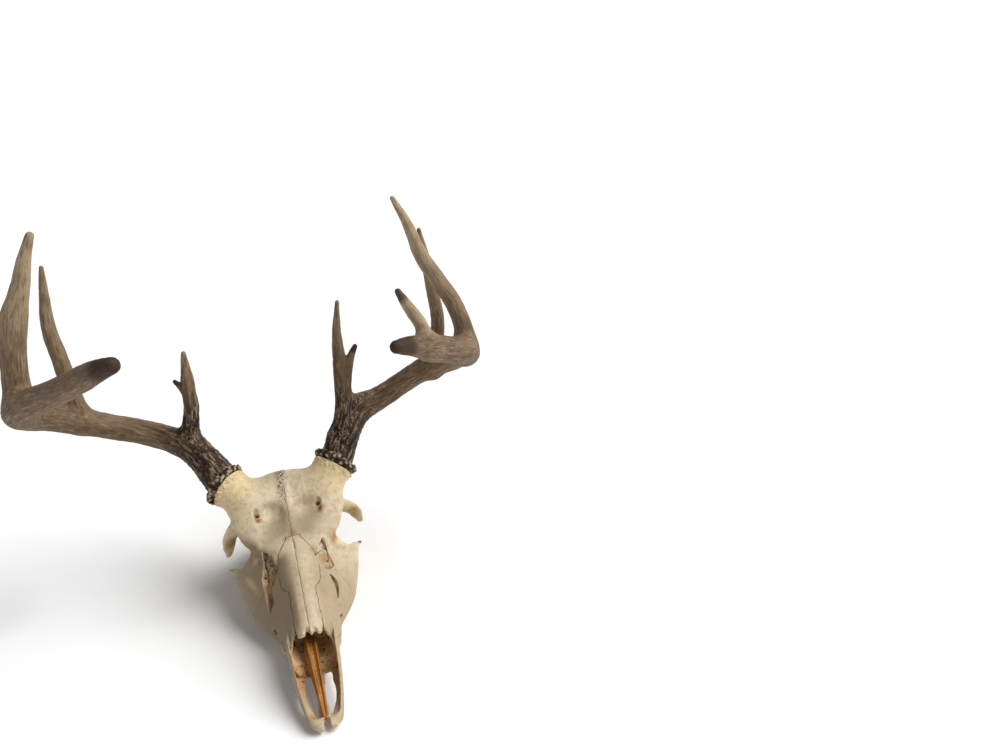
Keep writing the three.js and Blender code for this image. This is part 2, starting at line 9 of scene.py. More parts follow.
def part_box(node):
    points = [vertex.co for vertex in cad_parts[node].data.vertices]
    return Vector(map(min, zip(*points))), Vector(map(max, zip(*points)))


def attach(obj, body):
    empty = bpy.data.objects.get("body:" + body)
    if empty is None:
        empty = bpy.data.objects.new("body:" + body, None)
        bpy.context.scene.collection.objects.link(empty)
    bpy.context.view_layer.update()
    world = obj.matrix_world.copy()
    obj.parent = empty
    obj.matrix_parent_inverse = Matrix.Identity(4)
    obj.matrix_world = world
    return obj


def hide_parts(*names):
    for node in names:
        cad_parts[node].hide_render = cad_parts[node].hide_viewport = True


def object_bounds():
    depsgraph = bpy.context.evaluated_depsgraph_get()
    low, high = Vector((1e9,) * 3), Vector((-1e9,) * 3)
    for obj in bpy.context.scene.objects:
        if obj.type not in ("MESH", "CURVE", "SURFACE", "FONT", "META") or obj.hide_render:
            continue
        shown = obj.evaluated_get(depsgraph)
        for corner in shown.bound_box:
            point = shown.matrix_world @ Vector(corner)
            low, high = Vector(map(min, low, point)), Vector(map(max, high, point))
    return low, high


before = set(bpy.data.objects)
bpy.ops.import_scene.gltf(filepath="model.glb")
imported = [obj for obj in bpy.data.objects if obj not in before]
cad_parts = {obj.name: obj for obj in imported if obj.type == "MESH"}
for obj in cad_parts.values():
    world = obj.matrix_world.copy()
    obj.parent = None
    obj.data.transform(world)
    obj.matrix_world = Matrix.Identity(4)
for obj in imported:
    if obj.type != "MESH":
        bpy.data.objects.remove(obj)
cad_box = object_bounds()

# ---------------------------------------------------------------- the shared frame
# Sizes below are in millimetres in the skull's own layout: x from the midline, the deer's left positive,
# y from the front of the premaxillae towards the back of the head, z up from the floor.
MM = 0.001
SKULL_FRONT = 0.5  # y of the foremost point of the premaxillae
_low, _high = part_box("parietal")
_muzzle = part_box("premaxilla_left")[0]
ORIGIN = np.array([(_low[0] + _high[0]) / 2, _muzzle[1] - SKULL_FRONT * MM, 0.0])


def place(points):
    """Millimetres in the skull's layout to metres in the row frame."""
    return np.asarray(points, float) * MM + ORIGIN


# ---------------------------------------------------------------- camera, floor and light
# The camera looks down on the skull from in front. The floor is a wide sheet of plain, matte white paper, so
# that nothing but the skull's own soft shadow shows on it.
CAMERA_AT = (3.8, -587.0, 642.1)
CAMERA_RIGHT = (0.953, -0.301, -0.043)
CAMERA_BACK = (-0.247, -0.848, 0.469)
LENS_MM = 32.65  # on a 36 mm wide sensor

back = Vector(CAMERA_BACK).normalized()
right = Vector(CAMERA_RIGHT)
right = (right - back * right.dot(back)).normalized()
up = back.cross(right)


def add_object(name, data):
    made = bpy.data.objects.new(name, data)
    bpy.context.collection.objects.link(made)
    return made


cam_data = bpy.data.cameras.new("camera")
cam_data.lens = LENS_MM
cam_data.sensor_width = 36.0
cam = add_object("camera", cam_data)
cam.matrix_world = Matrix.Translation(Vector(place(CAMERA_AT))) @ Matrix((right, up, back)).transposed().to_4x4()
bpy.context.scene.camera = cam


def srgb(code):
    """A web colour such as #E5D8BC as linear RGBA."""
    parts = [int(code[i:i + 2], 16) / 255 for i in (1, 3, 5)]
    return tuple(c / 12.92 if c <= 0.04045 else ((c + 0.055) / 1.055) ** 2.4 for c in parts) + (1.0,)


class Nodes:
    """Adds nodes to a new material and links them by name."""

    def __init__(self, name):
        self.material = bpy.data.materials.new(name)
        self.material.use_nodes = True
        self.tree = self.material.node_tree
        self.shader = self.tree.nodes["Principled BSDF"]

    def add(self, kind, inputs=None, **settings):
        node = self.tree.nodes.new(kind)
        for key, value in settings.items():
            setattr(node, key, value)
        for key, value in (inputs or {}).items():
            socket = node.inputs[key]
            if isinstance(value, bpy.types.NodeSocket):
                self.tree.links.new(value, socket)
            else:
                socket.default_value = value
        return node

    def link(self, output, input_name):
        self.tree.links.new(output, self.shader.inputs[input_name])

    def noise(self, size_mm, detail=3.0, stretch=(1, 1, 1), distortion=0.0, vector=None):
        """Noise whose lumps are about size_mm across, from 0 to 1."""
        if vector is None:
            vector = self.add("ShaderNodeTexCoord").outputs["Object"]
        scaled = self.add("ShaderNodeVectorMath", {0: vector, 1: stretch}, operation="MULTIPLY")
        return self.add("ShaderNodeTexNoise", {"Vector": scaled.outputs[0], "Scale": 1000 / size_mm, "Detail": detail,
                                               "Distortion": distortion}).outputs["Fac"]

    def ramp(self, value, low, high, to_low=0.0, to_high=1.0):
        return self.add("ShaderNodeMapRange", {"Value": value, "From Min": low, "From Max": high, "To Min": to_low,
                                               "To Max": to_high}).outputs["Result"]

    def mix(self, factor, a, b):
        return self.add("ShaderNodeMix", {0: factor, 6: a, 7: b}, data_type="RGBA").outputs[2]

    def coats(self, tone, *coats):
        """Lays web colours over a tone in turn, each as strongly as the product of its factors."""
        for colour, strength, *factors in coats:
            for factor in factors:
                strength = self.add("ShaderNodeMath", {0: strength, 1: factor}, operation="MULTIPLY").outputs[0]
            tone = self.mix(strength, tone, srgb(colour))
        return tone

    def attribute(self, name):
        return self.add("ShaderNodeAttribute", attribute_name=name).outputs["Fac"]

    def bump(self, height, distance_mm, strength, before=None):
        inputs = {"Height": height, "Distance": distance_mm * MM, "Strength": strength}
        if before is not None:
            inputs["Normal"] = before
        return self.add("ShaderNodeBump", inputs).outputs["Normal"]


floor_paint = Nodes("white_sweep_paper")  # matte backdrop paper
floor_grain = floor_paint.noise(3.0, 2.0)
floor_paint.link(floor_paint.mix(floor_grain, srgb("#F4F4F4"), srgb("#F7F7F7")), "Base Color")
floor_paint.shader.inputs["Roughness"].default_value = 0.9
floor_paint.shader.inputs["Specular IOR Level"].default_value = 0.1
FLOOR_HALF = 60.0  # metres, so that its edges are never in view
floor_mesh = bpy.data.meshes.new("floor")
floor_mesh.from_pydata([(x * FLOOR_HALF, y * FLOOR_HALF, 0.0) for x, y in ((-1, -1), (1, -1), (1, 1), (-1, 1))], [],
                       [(0, 1, 2, 3)])
floor_mesh.materials.append(floor_paint.material)
floor = add_object("floor", floor_mesh)

# One broad, distant soft source up on the deer's left side, and a dim surround that is white at its foot.
KEY_FROM, KEY_STRENGTH, KEY_SPREAD = (0.9, -0.1, 1.1), 3.7, math.radians(48)
key = bpy.data.lights.new("key", "SUN")
key.energy = KEY_STRENGTH
key.angle = KEY_SPREAD
add_object("key", key).rotation_euler = Vector(KEY_FROM).to_track_quat("Z", "Y").to_euler()
world = bpy.data.worlds.new("surround")
world.use_nodes = True
tree = world.node_tree
height = tree.nodes.new("ShaderNodeSeparateXYZ")
tree.links.new(tree.nodes.new("ShaderNodeTexCoord").outputs["Generated"], height.inputs[0])
dim = tree.nodes.new("ShaderNodeMapRange")
for socket, value in (("From Min", 0.0), ("From Max", 0.22), ("To Min", 1.0), ("To Max", 0.25)):
    dim.inputs[socket].default_value = value
tree.links.new(height.outputs["Z"], dim.inputs["Value"])
tree.links.new(dim.outputs["Result"], tree.nodes["Background"].inputs["Strength"])
tree.nodes["Background"].inputs["Color"].default_value = srgb("#FFFFFF")
bpy.context.scene.world = world
bpy.context.scene.view_settings.view_transform = "Standard"


# ---------------------------------------------------------------- the whole skull
# A clean, dry buck's skull without its lower jaw. Both bars behind the orbits are broken off short, and the
# gap in front of each orbit is open. The skull is shaped here as one block of distances, and the next
# section but one parts it into its bones.


def hermite(t, a, b, slope_a, slope_b):
    """From a to b as t runs from 0 to 1, with the given slopes at both ends."""
    return ((2 * t ** 3 - 3 * t ** 2 + 1) * a + (t ** 3 - 2 * t ** 2 + t) * slope_a
            + (3 * t ** 2 - 2 * t ** 3) * b + (t ** 3 - t ** 2) * slope_b)


def profile(pairs):
    """A smooth function through position: value pairs that never overshoots them."""
    xs, ys = np.array(list(pairs.items()), float).T
    slope = np.diff(ys) / np.diff(xs)
    tangent = np.empty_like(ys)
    tangent[0], tangent[-1] = slope[0], slope[-1]
    product = slope[:-1] * slope[1:]
    tangent[1:-1] = np.where(product > 0, 2 * product / np.where(product > 0, slope[:-1] + slope[1:], 1), 0)

    def at(x):
        x = np.clip(x, xs[0], xs[-1])
        i = np.clip(np.searchsorted(xs, x, side="right") - 1, 0, len(xs) - 2)
        span = xs[i + 1] - xs[i]
        return hermite((x - xs[i]) / span, ys[i], ys[i + 1], span * tangent[i], span * tangent[i + 1])
    return at


def catmull(points, count):
    """count + 1 points evenly spaced along a smooth curve through points."""
    p = np.array(points, float)
    p = np.vstack([2 * p[0] - p[1], p, 2 * p[-1] - p[-2]])
    fine = []
    for i in range(1, len(p) - 2):
        a, b, c, d = p[i - 1:i + 3]
        ab, bc, cd = (np.linalg.norm(v) ** 0.5 for v in (b - a, c - b, d - c))
        m1 = bc * ((b - a) / ab - (c - a) / (ab + bc)) + (c - b)
        m2 = bc * ((d - c) / cd - (d - b) / (bc + cd)) + (c - b)
        t = np.linspace(0, 1, 40, endpoint=False)[:, None]
        fine.append(hermite(t, b, c, m1, m2))
    fine = np.vstack(fine + [p[-2:-1]])
    run = np.concatenate([[0], np.cumsum(np.linalg.norm(np.diff(fine, axis=0), axis=1))])
    at = np.linspace(0, run[-1], count + 1)
    return np.stack([np.interp(at, run, fine[:, k]) for k in range(3)], 1)


def spread(radii, count):
    """count + 1 radii that pass smoothly through the given ones, spaced evenly."""
    steps = len(radii) - 1
    return profile({i / steps: radius for i, radius in enumerate(radii)})(np.linspace(0, 1, count + 1))


def hash_cell(x, y, z, seed):
    """A whole number for each cube of a grid, always the same for the same cube and seed."""
    return x * 73856093 ^ y * 19349663 ^ z * 83492791 ^ seed * 2654435761


def scramble(code):
    return (code ^ (code >> 13)) * 1274126177 & 0x7FFFFFFF


def unit(vector):
    return np.array(vector) / np.linalg.norm(vector)


def along(axis, origin, x, y, z):
    """How far each place lies from origin in the direction of axis."""
    return (x - origin[0]) * axis[0] + (y - origin[1]) * axis[1] + (z - origin[2]) * axis[2]


def lattice(x, y, z, seed):
    """Smooth noise from -1 to 1 with lumps one unit across, the same on every run."""
    x, y, z = np.broadcast_arrays(x, y, z)
    xi, yi, zi = (np.floor(v).astype(np.int64) for v in (x, y, z))
    xf, yf, zf = x - xi, y - yi, z - zi
    xf, yf, zf = (v * v * (3 - 2 * v) for v in (xf, yf, zf))
    total = 0
    for dx, dy, dz in np.ndindex(2, 2, 2):
        code = scramble(hash_cell(xi + dx, yi + dy, zi + dz, seed))
        value = (code ^ (code >> 16)) % 65536 / 32767.5 - 1
        total = total + value * (xf if dx else 1 - xf) * (yf if dy else 1 - yf) * (zf if dz else 1 - zf)
    return total


EMPTY = 12.0  # the distance that a block starts with everywhere


class Solid:
    """A block of space that holds the distance to a growing shape, in millimetres and negative inside."""

    def __init__(self, low, high, step):
        self.step = step
        self.low = np.array(low, float)
        self.count = np.ceil((np.array(high) - self.low) / step).astype(int) + 1
        self.field = np.full(self.count, EMPTY, np.float32)

    def block(self, low, high):
        """The values between two corners, with their x, y and z and the place in the block where they start."""
        a = np.clip(np.floor((np.array(low) - self.low) / self.step).astype(int), 0, self.count - 1)
        b = np.clip(np.ceil((np.array(high) - self.low) / self.step).astype(int) + 1, 1, self.count)
        axes = [(self.low[k] + self.step * np.arange(a[k], b[k])).astype(np.float32) for k in range(3)]
        view = self.field[a[0]:b[0], a[1]:b[1], a[2]:b[2]]
        return view, axes[0][:, None, None], axes[1][None, :, None], axes[2][None, None, :], a

    def merge(self, view, shape, blend, cut):
        """Joins shape into view, or cuts it out, with the corner between them rounded by blend."""
        a, b = (-view, shape) if cut else (view, shape)
        if blend > 0:
            h = np.clip(0.5 + 0.5 * (b - a) / blend, 0, 1)
            joined = b * (1 - h) + a * h - blend * h * (1 - h)
        else:
            joined = np.minimum(a, b)
        view[...] = -joined if cut else joined

    def section_shape(self, spec):
        """Superellipse sections along y: wide, z_wide, top, bottom, up and low are numbers or functions of y."""
        y0, y1 = spec["span"]
        reach = spec.get("reach", 62)
        view, x, y, z, _ = self.block((-reach, y0 - 6, spec["z"][0]), (reach, y1 + 6, spec["z"][1]))
        inside = np.clip(y[0, :, 0], y0, y1)
        rows = [spec[key] for key in ("wide", "z_wide", "top", "bottom", "up", "low")]
        rows = [row(inside) if callable(row) else np.full_like(inside, row) for row in rows]
        wide, z_wide, top, bottom, up, low = (row.astype(np.float32)[None, :, None] for row in rows)
        above = z - z_wide >= 0
        tall = np.where(above, top - z_wide, z_wide - bottom)
        power = np.where(above, up, low)
        u, v = np.abs(x) / wide + 1e-4, np.abs(z - z_wide) / tall + 1e-4
        u_part, v_part = u ** power, v ** power
        total = u_part + v_part
        k = total ** (1 / power)
        slope = k / total * np.sqrt((u_part / u / wide) ** 2 + (v_part / v / tall) ** 2)
        shape = np.clip((k - 1) / np.maximum(slope, 1e-3), -14, 14)
        return view, np.maximum(shape, np.maximum(y - y1, y0 - y)), y

    def loft(self, spec, blend=3.0, cut=False):
        view, shape, _ = self.section_shape(spec)
        self.merge(view, shape, blend, cut)

    def tube(self, points, radii, blend=3.0, cut=False, flat=1.0, across=(0, 0, 1), count=16, rough=0.0, seed=0):
        """A round limb along a smooth curve, with its radii spread evenly; across it can be flat times as thick."""
        line, size = catmull(points, count), spread(radii, count)
        across = unit(across)
        pad = size.max() + max(blend, 2) + 2
        view, x, y, z, origin = self.block(line.min(0) - pad, line.max(0) + pad)
        shape = np.full(view.shape, EMPTY, np.float32)
        for i in range(count):
            p, q, rp, rq = line[i], line[i + 1], size[i], size[i + 1]
            reach = max(rp, rq) + max(blend, 2) + 1
            _, sx, sy, sz, a = self.block(np.minimum(p, q) - reach, np.maximum(p, q) + reach)
            s = tuple(slice(a[k] - origin[k], a[k] - origin[k] + (sx, sy, sz)[k].size) for k in range(3))
            axis = q - p
            h = np.clip(along(axis, p, sx, sy, sz) / (axis @ axis), 0, 1)
            vx, vy, vz = sx - p[0] - h * axis[0], sy - p[1] - h * axis[1], sz - p[2] - h * axis[2]
            if flat != 1.0:
                extra = (1 / flat - 1) * (vx * across[0] + vy * across[1] + vz * across[2])
                vx, vy, vz = vx + extra * across[0], vy + extra * across[1], vz + extra * across[2]
            d = (np.sqrt(vx * vx + vy * vy + vz * vz) - rp - (rq - rp) * h) * (min(flat, 1.0) ** 0.5)
            shape[s] = np.minimum(shape[s], d)
        if rough:
            shape = shape + rough * lattice(x / 4, y / 4, z / 4, seed)
        self.merge(view, shape, blend, cut)

    def ball(self, centre, radii, blend=3.0, cut=False, turn=0.0, rough=0.0, seed=0):
        """An ellipsoid turned about z by turn degrees."""
        centre, radii = np.array(centre, float), np.array(radii, float)
        pad = radii.max() + max(blend, 2) + 2
        view, x, y, z, _ = self.block(centre - pad, centre + pad)
        c, s = math.cos(math.radians(turn)), math.sin(math.radians(turn))
        dx, dy, dz = x - centre[0], y - centre[1], z - centre[2]
        ux, uy = (dx * c + dy * s) / radii[0], (-dx * s + dy * c) / radii[1]
        uz = dz / radii[2]
        k = np.sqrt(ux * ux + uy * uy + uz * uz) + 1e-5
        g = np.sqrt((ux / radii[0]) ** 2 + (uy / radii[1]) ** 2 + (uz / radii[2]) ** 2) / k + 1e-5
        shape = np.clip((k - 1) / g, -12, 12)
        if rough:
            shape = shape + rough * lattice(x / 3, y / 3, z / 3, seed)
        self.merge(view, shape, blend, cut)

    def window(self, corners, depth, rough=0.8, seed=0):
        """Cuts a recess with a convex outline straight into a surface that faces up, with an uneven floor."""
        corners = np.array(corners, float)
        middle = corners.mean(0)
        inward = np.linalg.svd(corners - middle)[2][2]
        inward = -inward if inward[2] > 0 else inward
        view, x, y, z, _ = self.block(corners.min(0) - depth - 4, corners.max(0) + depth + 4)
        play = rough * lattice(x / 2.6, y / 2.6, z / 2.6, seed)
        below = along(inward, middle, x, y, z)
        shape = np.maximum(below - depth + 1.8 * play, -below - depth)
        for i, corner in enumerate(corners):
            outward = unit(np.cross(corners[i - 1] - corner, inward))
            outward = -outward if outward @ (middle - corner) > 0 else outward
            shape = np.maximum(shape, along(outward, corner, x, y, z) + 0.4 * play)
        self.merge(view, shape, 0.6, True)

    def stand(self, height):
        """Cuts the shape off flat at a height over the floor."""
        z = (self.low[2] + self.step * np.arange(self.count[2])).astype(np.float32)
        np.maximum(self.field, height - z, out=self.field)

    def soften(self, passes):
        """Rounds every edge by about the square root of passes, in steps of the block."""
        for _ in range(passes):
            for axis in range(3):
                f = np.moveaxis(self.field, axis, 0)
                f[1:-1] = 0.25 * f[:-2] + 0.5 * f[1:-1] + 0.25 * f[2:]


SKULL_STEP, FIRST_ROUNDING, HOLLOW_ROUNDING = 0.75, 5, 10
CREST_Y, NASION_Y, REAR_Y = 242, 175, 292
dorsal = profile({60: 46, 77: 54, 120: 70, NASION_Y: 88, 205: 102, CREST_Y: 120, 266: 106, REAR_Y: 74})
nasal_half = profile({70: 10.5, 90: 11.8, 110: 13.2, 140: 17, 159: 17, 168: 13.5, NASION_Y: 7})

FACE = dict(
    span=(58, 206), z=(0, 104),
    wide=profile({60: 19.5, 77: 21.5, 100: 26.5, 115: 33, 130: 43, 150: 52.5, 172: 57.5, 190: 56, 206: 40}),
    z_wide=profile({60: 24, 100: 21, 130: 23, 150: 27, 175: 38, 206: 50}),
    top=lambda y: dorsal(y) - 1.5,
    bottom=profile({60: 12, 95: 12, 110: 9, 170: 10, 187: 25, 206: 36}),
    up=profile({60: 2.5, 77: 2.5, 100: 2.1, 130: 1.55, 150: 1.5, 175: 1.6, 206: 1.9}),
    low=profile({60: 2.8, 120: 2.4, 206: 2}))
FOREHEAD = dict(
    span=(160, 252), z=(50, 124),
    wide=profile({160: 26, 176: 38, 192: 51, 205: 55, 222: 52, 240: 42, 252: 34}),
    z_wide=lambda y: dorsal(y) - profile({160: 12, 200: 11, 230: 14, 252: 18})(y),
    top=dorsal,
    bottom=lambda y: dorsal(y) - profile({160: 24, 200: 18, 252: 34})(y),
    up=2.5, low=2.0)
BRAINCASE = dict(
    span=(196, 288), z=(22, 124), reach=50,
    wide=profile({196: 17, 215: 30, 240: 40, 262: 41, 280: 35, 288: 28}),
    z_wide=profile({196: 66, 240: 66, 288: 58}),
    top=lambda y: dorsal(y) - 1,
    bottom=profile({196: 34, 240: 30, 288: 33}),
    up=2.3, low=2.2)
SKULL_BASE = dict(
    span=(150, 284), z=(12, 56), reach=32,
    wide=profile({150: 24, 185: 16, 230: 13, 284: 15}),
    z_wide=profile({150: 26, 284: 34}),
    top=profile({150: 50, 284: 48}),
    bottom=profile({150: 18, 200: 20, 240: 26, 284: 27}),
    up=2.5, low=2.5)
NASALS = dict(
    span=(71.5, 174), z=(36, 94), reach=24,
    wide=nasal_half,
    z_wide=lambda y: dorsal(y) - 10,
    top=dorsal,
    bottom=lambda y: dorsal(y) - 14,
    up=profile({72: 2.2, 110: 2.0, 135: 1.75, 174: 2.0}), low=2.0)
PASSAGE = dict(
    span=(40, 112), z=(8, 96), reach=30,
    wide=profile({40: 17, 77: 20.5, 100: 19, 112: 8}),
    z_wide=profile({40: 30, 112: 38}),
    top=lambda y: np.where(y < 74, 90, dorsal(y) - 4.5),
    bottom=profile({40: 13, 90: 17, 112: 26}),
    up=2.6, low=2.4)
PALATE = dict(
    span=(98, 184), z=(-6, 24), reach=26,
    wide=18.5, z_wide=-4, top=16, bottom=-10, up=2.4, low=2)
wall_top = profile({0: 9.5, 8: 13.5, 14: 16.5, 30: 27, 50: 40, 72: 51, 90: 58})
spoon_half = profile({0: 8, 6: 14.5, 22: 18.5, 45: 21.5, 77: 24, 90: 26})
spoon_end = profile({79: 24.2, 92: 19.5})  # the walls run out against the muzzle
SPOON = dict(
    span=(0.5, 92), z=(-1, 66), reach=30,
    wide=lambda y: np.minimum(spoon_half(y), spoon_end(y)),
    z_wide=profile({0: 7, 30: 17, 90: 28}),
    top=wall_top,
    bottom=profile({0: 4, 12: 4.5, 60: 11, 90: 12}),
    up=3.2, low=2.8)
spoon_floor = profile({4: 13.5, 9: 11, 15: 8.6, 30: 10.2, 60: 14.5, 92: 16.5})
SPOON_INSIDE = dict(
    SPOON, span=(4, 96), z=(-1, 84),
    wide=lambda y: spoon_half(y) - profile({4: 5, 12: 3.4, 40: 2.6, 90: 2.8})(y),
    z_wide=lambda y: spoon_floor(y) + 5,
    top=lambda y: wall_top(y) + 22,
    bottom=spoon_floor)

skull = Solid((-73.5, -3, -1.5), (73.5, 297, 136.5), SKULL_STEP)
skull.loft(FACE, 0)
skull.loft(SKULL_BASE, 5)
skull.loft(BRAINCASE, 8)
skull.loft(FOREHEAD, 7)
skull.soften(FIRST_ROUNDING)
# stumps of the frontal's bars behind the orbits: thin broken leaves, longer on the deer's right
STUMPS = {1: ([(46, 213, 89), (57, 215, 84), (65.5, 214, 77), (70.5, 212, 66)], [8, 8.3, 8.0, 4.6]),
          -1: ([(46, 213, 89), (56, 215, 82), (62, 214, 71), (65, 211, 56)], [8, 8.3, 7.4, 3.2])}


def mirror(points):
    """The points on the side of the head that is being shaped, 1 for the deer's left and -1 for its right."""
    return [(side * x, y, z) for x, y, z in points]


for side in (-1, 1):
    # pedicle that bears the antler, and the orbit
    skull.tube(mirror([(20, 220, 84), (35, 230, 96), (47, 240, 108), (56, 247.5, 117)]), [23, 21.5, 19, 20.5], 15)
    skull.ball((side * 54, 206, 66), (32, 24, 23), 2.5, True, turn=-18 * side)
    # cheek bone with the front rim of the orbit and the stump of the arch
    skull.tube(mirror([(44, 156, 38), (51, 172, 41), (56, 186, 41), (59, 196, 41)]), [12, 13, 10, 6], 5, flat=0.6,
               across=(0.94 * side, -0.34, 0))
    skull.tube(mirror([(54, 190, 40), (60, 199, 42), (67, 204, 42)]), [7, 4.5, 1.6], 3, flat=0.7, rough=0.3, seed=4)
    skull.tube(mirror([(33, 180, 79), (41, 178, 66), (49, 181, 54), (57, 190, 46)]), [4.5, 5, 5, 4.5], 5)
    stump, thick = STUMPS[side]
    skull.tube(mirror(stump), thick, 3.5, flat=0.4, across=(0.5 * side, 0.85, 0), rough=0.35, seed=9)
    # ear region, jugular process that stands on the floor, condyle
    skull.ball((side * 24, 248, 24), (9, 13, 11), 3, turn=12 * side)
    skull.tube(mirror([(27, 270, 46), (27, 271, 30), (27, 272, 14), (27, 272, 2)]), [12, 8.5, 6, 4.2], 5, flat=0.55,
               across=(1, 0, 0))
    skull.ball((side * 13, 287, 36), (9, 9, 12), 2, turn=-20 * side)
    skull.tube(mirror([(30, 252, 34), (38, 254, 36)]), [6.5, 5], 4, count=4)
    skull.tube(mirror([(34, 253, 35), (44, 255, 37)]), [3, 3], 1, True, count=4)
    skull.tube(mirror([(32, 242, 50), (40, 239, 48), (46, 235, 47)]), [8, 6, 4], 4, flat=0.7, rough=0.4, seed=3,
               count=6)
    skull.tube(mirror([(15, 168, 24), (14, 190, 16), (13, 208, 15)]), [4, 3.5, 2.5], 3, flat=0.5, across=(1, 0, 0))
    # low ridge along the temple
    skull.tube(mirror([(42, 226, 92), (40, 244, 84), (38, 262, 72), (36, 271, 58)]), [2.4, 2.2, 2.2, 3], 6)
# the crest across the back of the head, and the hole of the spinal cord below it
skull.tube([(-37, 270, 56), (-26, 281, 72), (0, 287, 79), (26, 281, 72), (37, 270, 56)], [3, 4, 5, 4, 3], 4,
           rough=0.5, seed=6)
skull.ball((0, REAR_Y + 2, 50), (10, 22, 9.5), 1.5, True)
skull.loft(NASALS, 3.5)
# the passage opens in front of the nasals and keeps a wall under and beside them
NASAL_WALL, OPENING_Y = 2.4, 76
view, shape, y = skull.section_shape(PASSAGE)
passage = np.maximum(shape, np.where(y > OPENING_Y, view + NASAL_WALL, -12))
skull.merge(view, passage, 1.0, True)
SKULL_FAR = skull.low + SKULL_STEP * (skull.count - 1)
airway = Solid(skull.low, SKULL_FAR, SKULL_STEP)
airway.merge(airway.section_shape(PASSAGE)[0], passage, 0, False)
airway.loft(dict(SPOON_INSIDE, span=(4, OPENING_Y - 2)), 0)
# the vault of the palate, and the opening behind it
skull.loft(PALATE, 3.0, True)
skull.ball((0, 200, 15), (9, 24, 9), 2, True)

# the premaxillae: a spoon with two long openings in its floor and a notch between its front tips
SPOON_BOX = (-31.5, -3, -1.5), (31.5, 99, 72)
spoon = Solid(*SPOON_BOX, SKULL_STEP)
spoon.loft(SPOON, 0)
spoon.loft(SPOON_INSIDE, 1.5, True)
for side in (-1, 1):
    middle_x = 8.3 if side > 0 else -8.8
    for front_z, rear_z in ((10, 10), (4, 17)):
        line = [(side * 6.0, 13, front_z), (middle_x, 36, front_z), (side * 9.8, 64, rear_z)]
        spoon.tube(line, [2.4, 4.9, 2.4], 1.2, True, count=14)
for z in (3, 8, 12, 15):
    spoon.tube([(0, -5, z), (0, 3, z), (0, 8, z), (0, 12, z)], [4.0, 3.7, 3.2, 0.8], 0.8, True, count=8)
view = skull.block(*SPOON_BOX)[0]
part = spoon.field[:view.shape[0], :view.shape[1], :view.shape[2]]
skull.merge(view[:part.shape[0], :part.shape[1], :part.shape[2]], part, 1.2, False)

for side in (-1, 1):
    # two supraorbital holes, the shallow channel that leads forward from them, and the hollow beside it
    skull.tube(mirror([(31.5, 206, 108), (31.5, 206, 100), (30, 210, 92)]), [1.7, 1.7, 1.3], 0.5, True, count=6)
    skull.tube(mirror([(31, 200, 104), (31, 200.5, 97)]), [1.1, 1.0], 0.5, True, count=4)
    skull.tube(mirror([(31.3, 206, 104), (30, 194, 99), (27, 180, 92.5)]), [1.4, 2.2, 1.4], 2.5, True, count=8)
    skull.ball((side * 17, 192, dorsal(192) + 8.0), (14, 20, 10), 8, True)
    # hole of the cheek nerve, and the tear duct's hole in the rim of the orbit
    skull.tube(mirror([(37, 106, 24.5), (31, 114, 27), (26, 124, 30)]), [2.8, 2.2, 1.4], 1.2, True, count=6)
    skull.tube(mirror([(48, 186, 64), (42, 178, 63), (38, 172, 62)]), [1.5, 1.3, 1.0], 0.8, True, count=5)
    # scrolls of thin bone in the back of the nasal passage, and the notches in the nasals' front edges
    skull.tube(mirror([(9.5, 92, 36), (9.5, 118, 40)]), [6.6, 6.6], 0.5, count=4)
    skull.tube(mirror([(9.5, 86, 36), (9.5, 108, 39)]), [5.4, 5.4], 0.5, True, count=4)
    skull.tube(mirror([(9.5, 96, 36), (9.5, 118, 40)]), [2.6, 2.6], 0.5, count=4)
    skull.ball((side * 3.6 + 0.8, 70.5, 54), (4.2, 7.4, 9), 0.8, True, rough=0.8, seed=12)
    skull.ball((side * 10.8, 70, 50), (2.0, 5, 8), 0.8, True, rough=0.8, seed=14 + side)
    # the lap of the premaxilla's upper end over the maxilla
    skull.tube(mirror([(19.5, 92, 43.5), (20.4, 85, 41.5), (21, 79, 39)]), [2.0, 2.2, 1.6], 1.5, count=8)
# the nasals' tips stand free of the walls beside them
for points, radii, seed in (([(11.6, 83, 54.5), (12.8, 78, 50.5), (14.4, 73, 44)], [0.8, 1.8, 3.2], 51),
                            ([(-14.2, 84, 51.5), (-16.2, 79, 46.5), (-17.5, 74, 40)], [0.9, 2.0, 3.2], 52)):
    skull.tube(points, radii, 0.5, True, count=8, rough=0.4, seed=seed)
# the open gaps in front of the orbits: one long gap on the deer's right, a kite and a slit on its left,
# with a thin uneven sheet of bone and a few bridges at the bottom of each
skull.window([(-30, 173.5, 84), (-27, 166.8, 80.2), (-20.2, 160.5, 78.8), (-18.7, 156, 73.8), (-21.5, 146.5, 66.4),
              (-27.5, 138.5, 58), (-35.2, 139, 52), (-35.6, 155, 59.6)], 6.5, 1.0, 21)
skull.window([(-35, 143, 53), (-28.4, 140.5, 58.4), (-28.2, 126.5, 50.4), (-34.6, 124.5, 40.8)], 5.0, 0.8, 25)
skull.window([(28.4, 171.5, 82.8), (34.9, 153, 59), (29, 145.8, 61), (22.5, 144.7, 65.5), (18.6, 151.5, 71.6),
              (19.2, 158.3, 76), (24.2, 164.6, 80.2)], 3.8, 0.5, 22)
skull.tube([(27, 142.3, 58.8), (31, 138, 52.2), (31.5, 132, 47), (31, 124, 42.8)], [1.4, 2.5, 2.7, 1.4], 0.5, True,
           count=10, rough=0.5, seed=23)
for points, thick in (([(-29, 165, 75.5), (-25.5, 158.5, 71), (-23.3, 151, 65)], 0.9),
                      ([(-22, 148, 64.5), (-26, 142, 58), (-31, 139.5, 52)], 0.9),
                      ([(-30.5, 139, 52), (-30.5, 133, 48), (-32, 127, 43)], 0.6)):
    skull.tube(points, [thick, 1.4 * thick, thick], 1.0, count=10, rough=0.6, seed=31)
skull.tube([(30, 156, 65), (26.5, 158, 60.5)], [1.1, 1.0], 0.4, True, count=4)
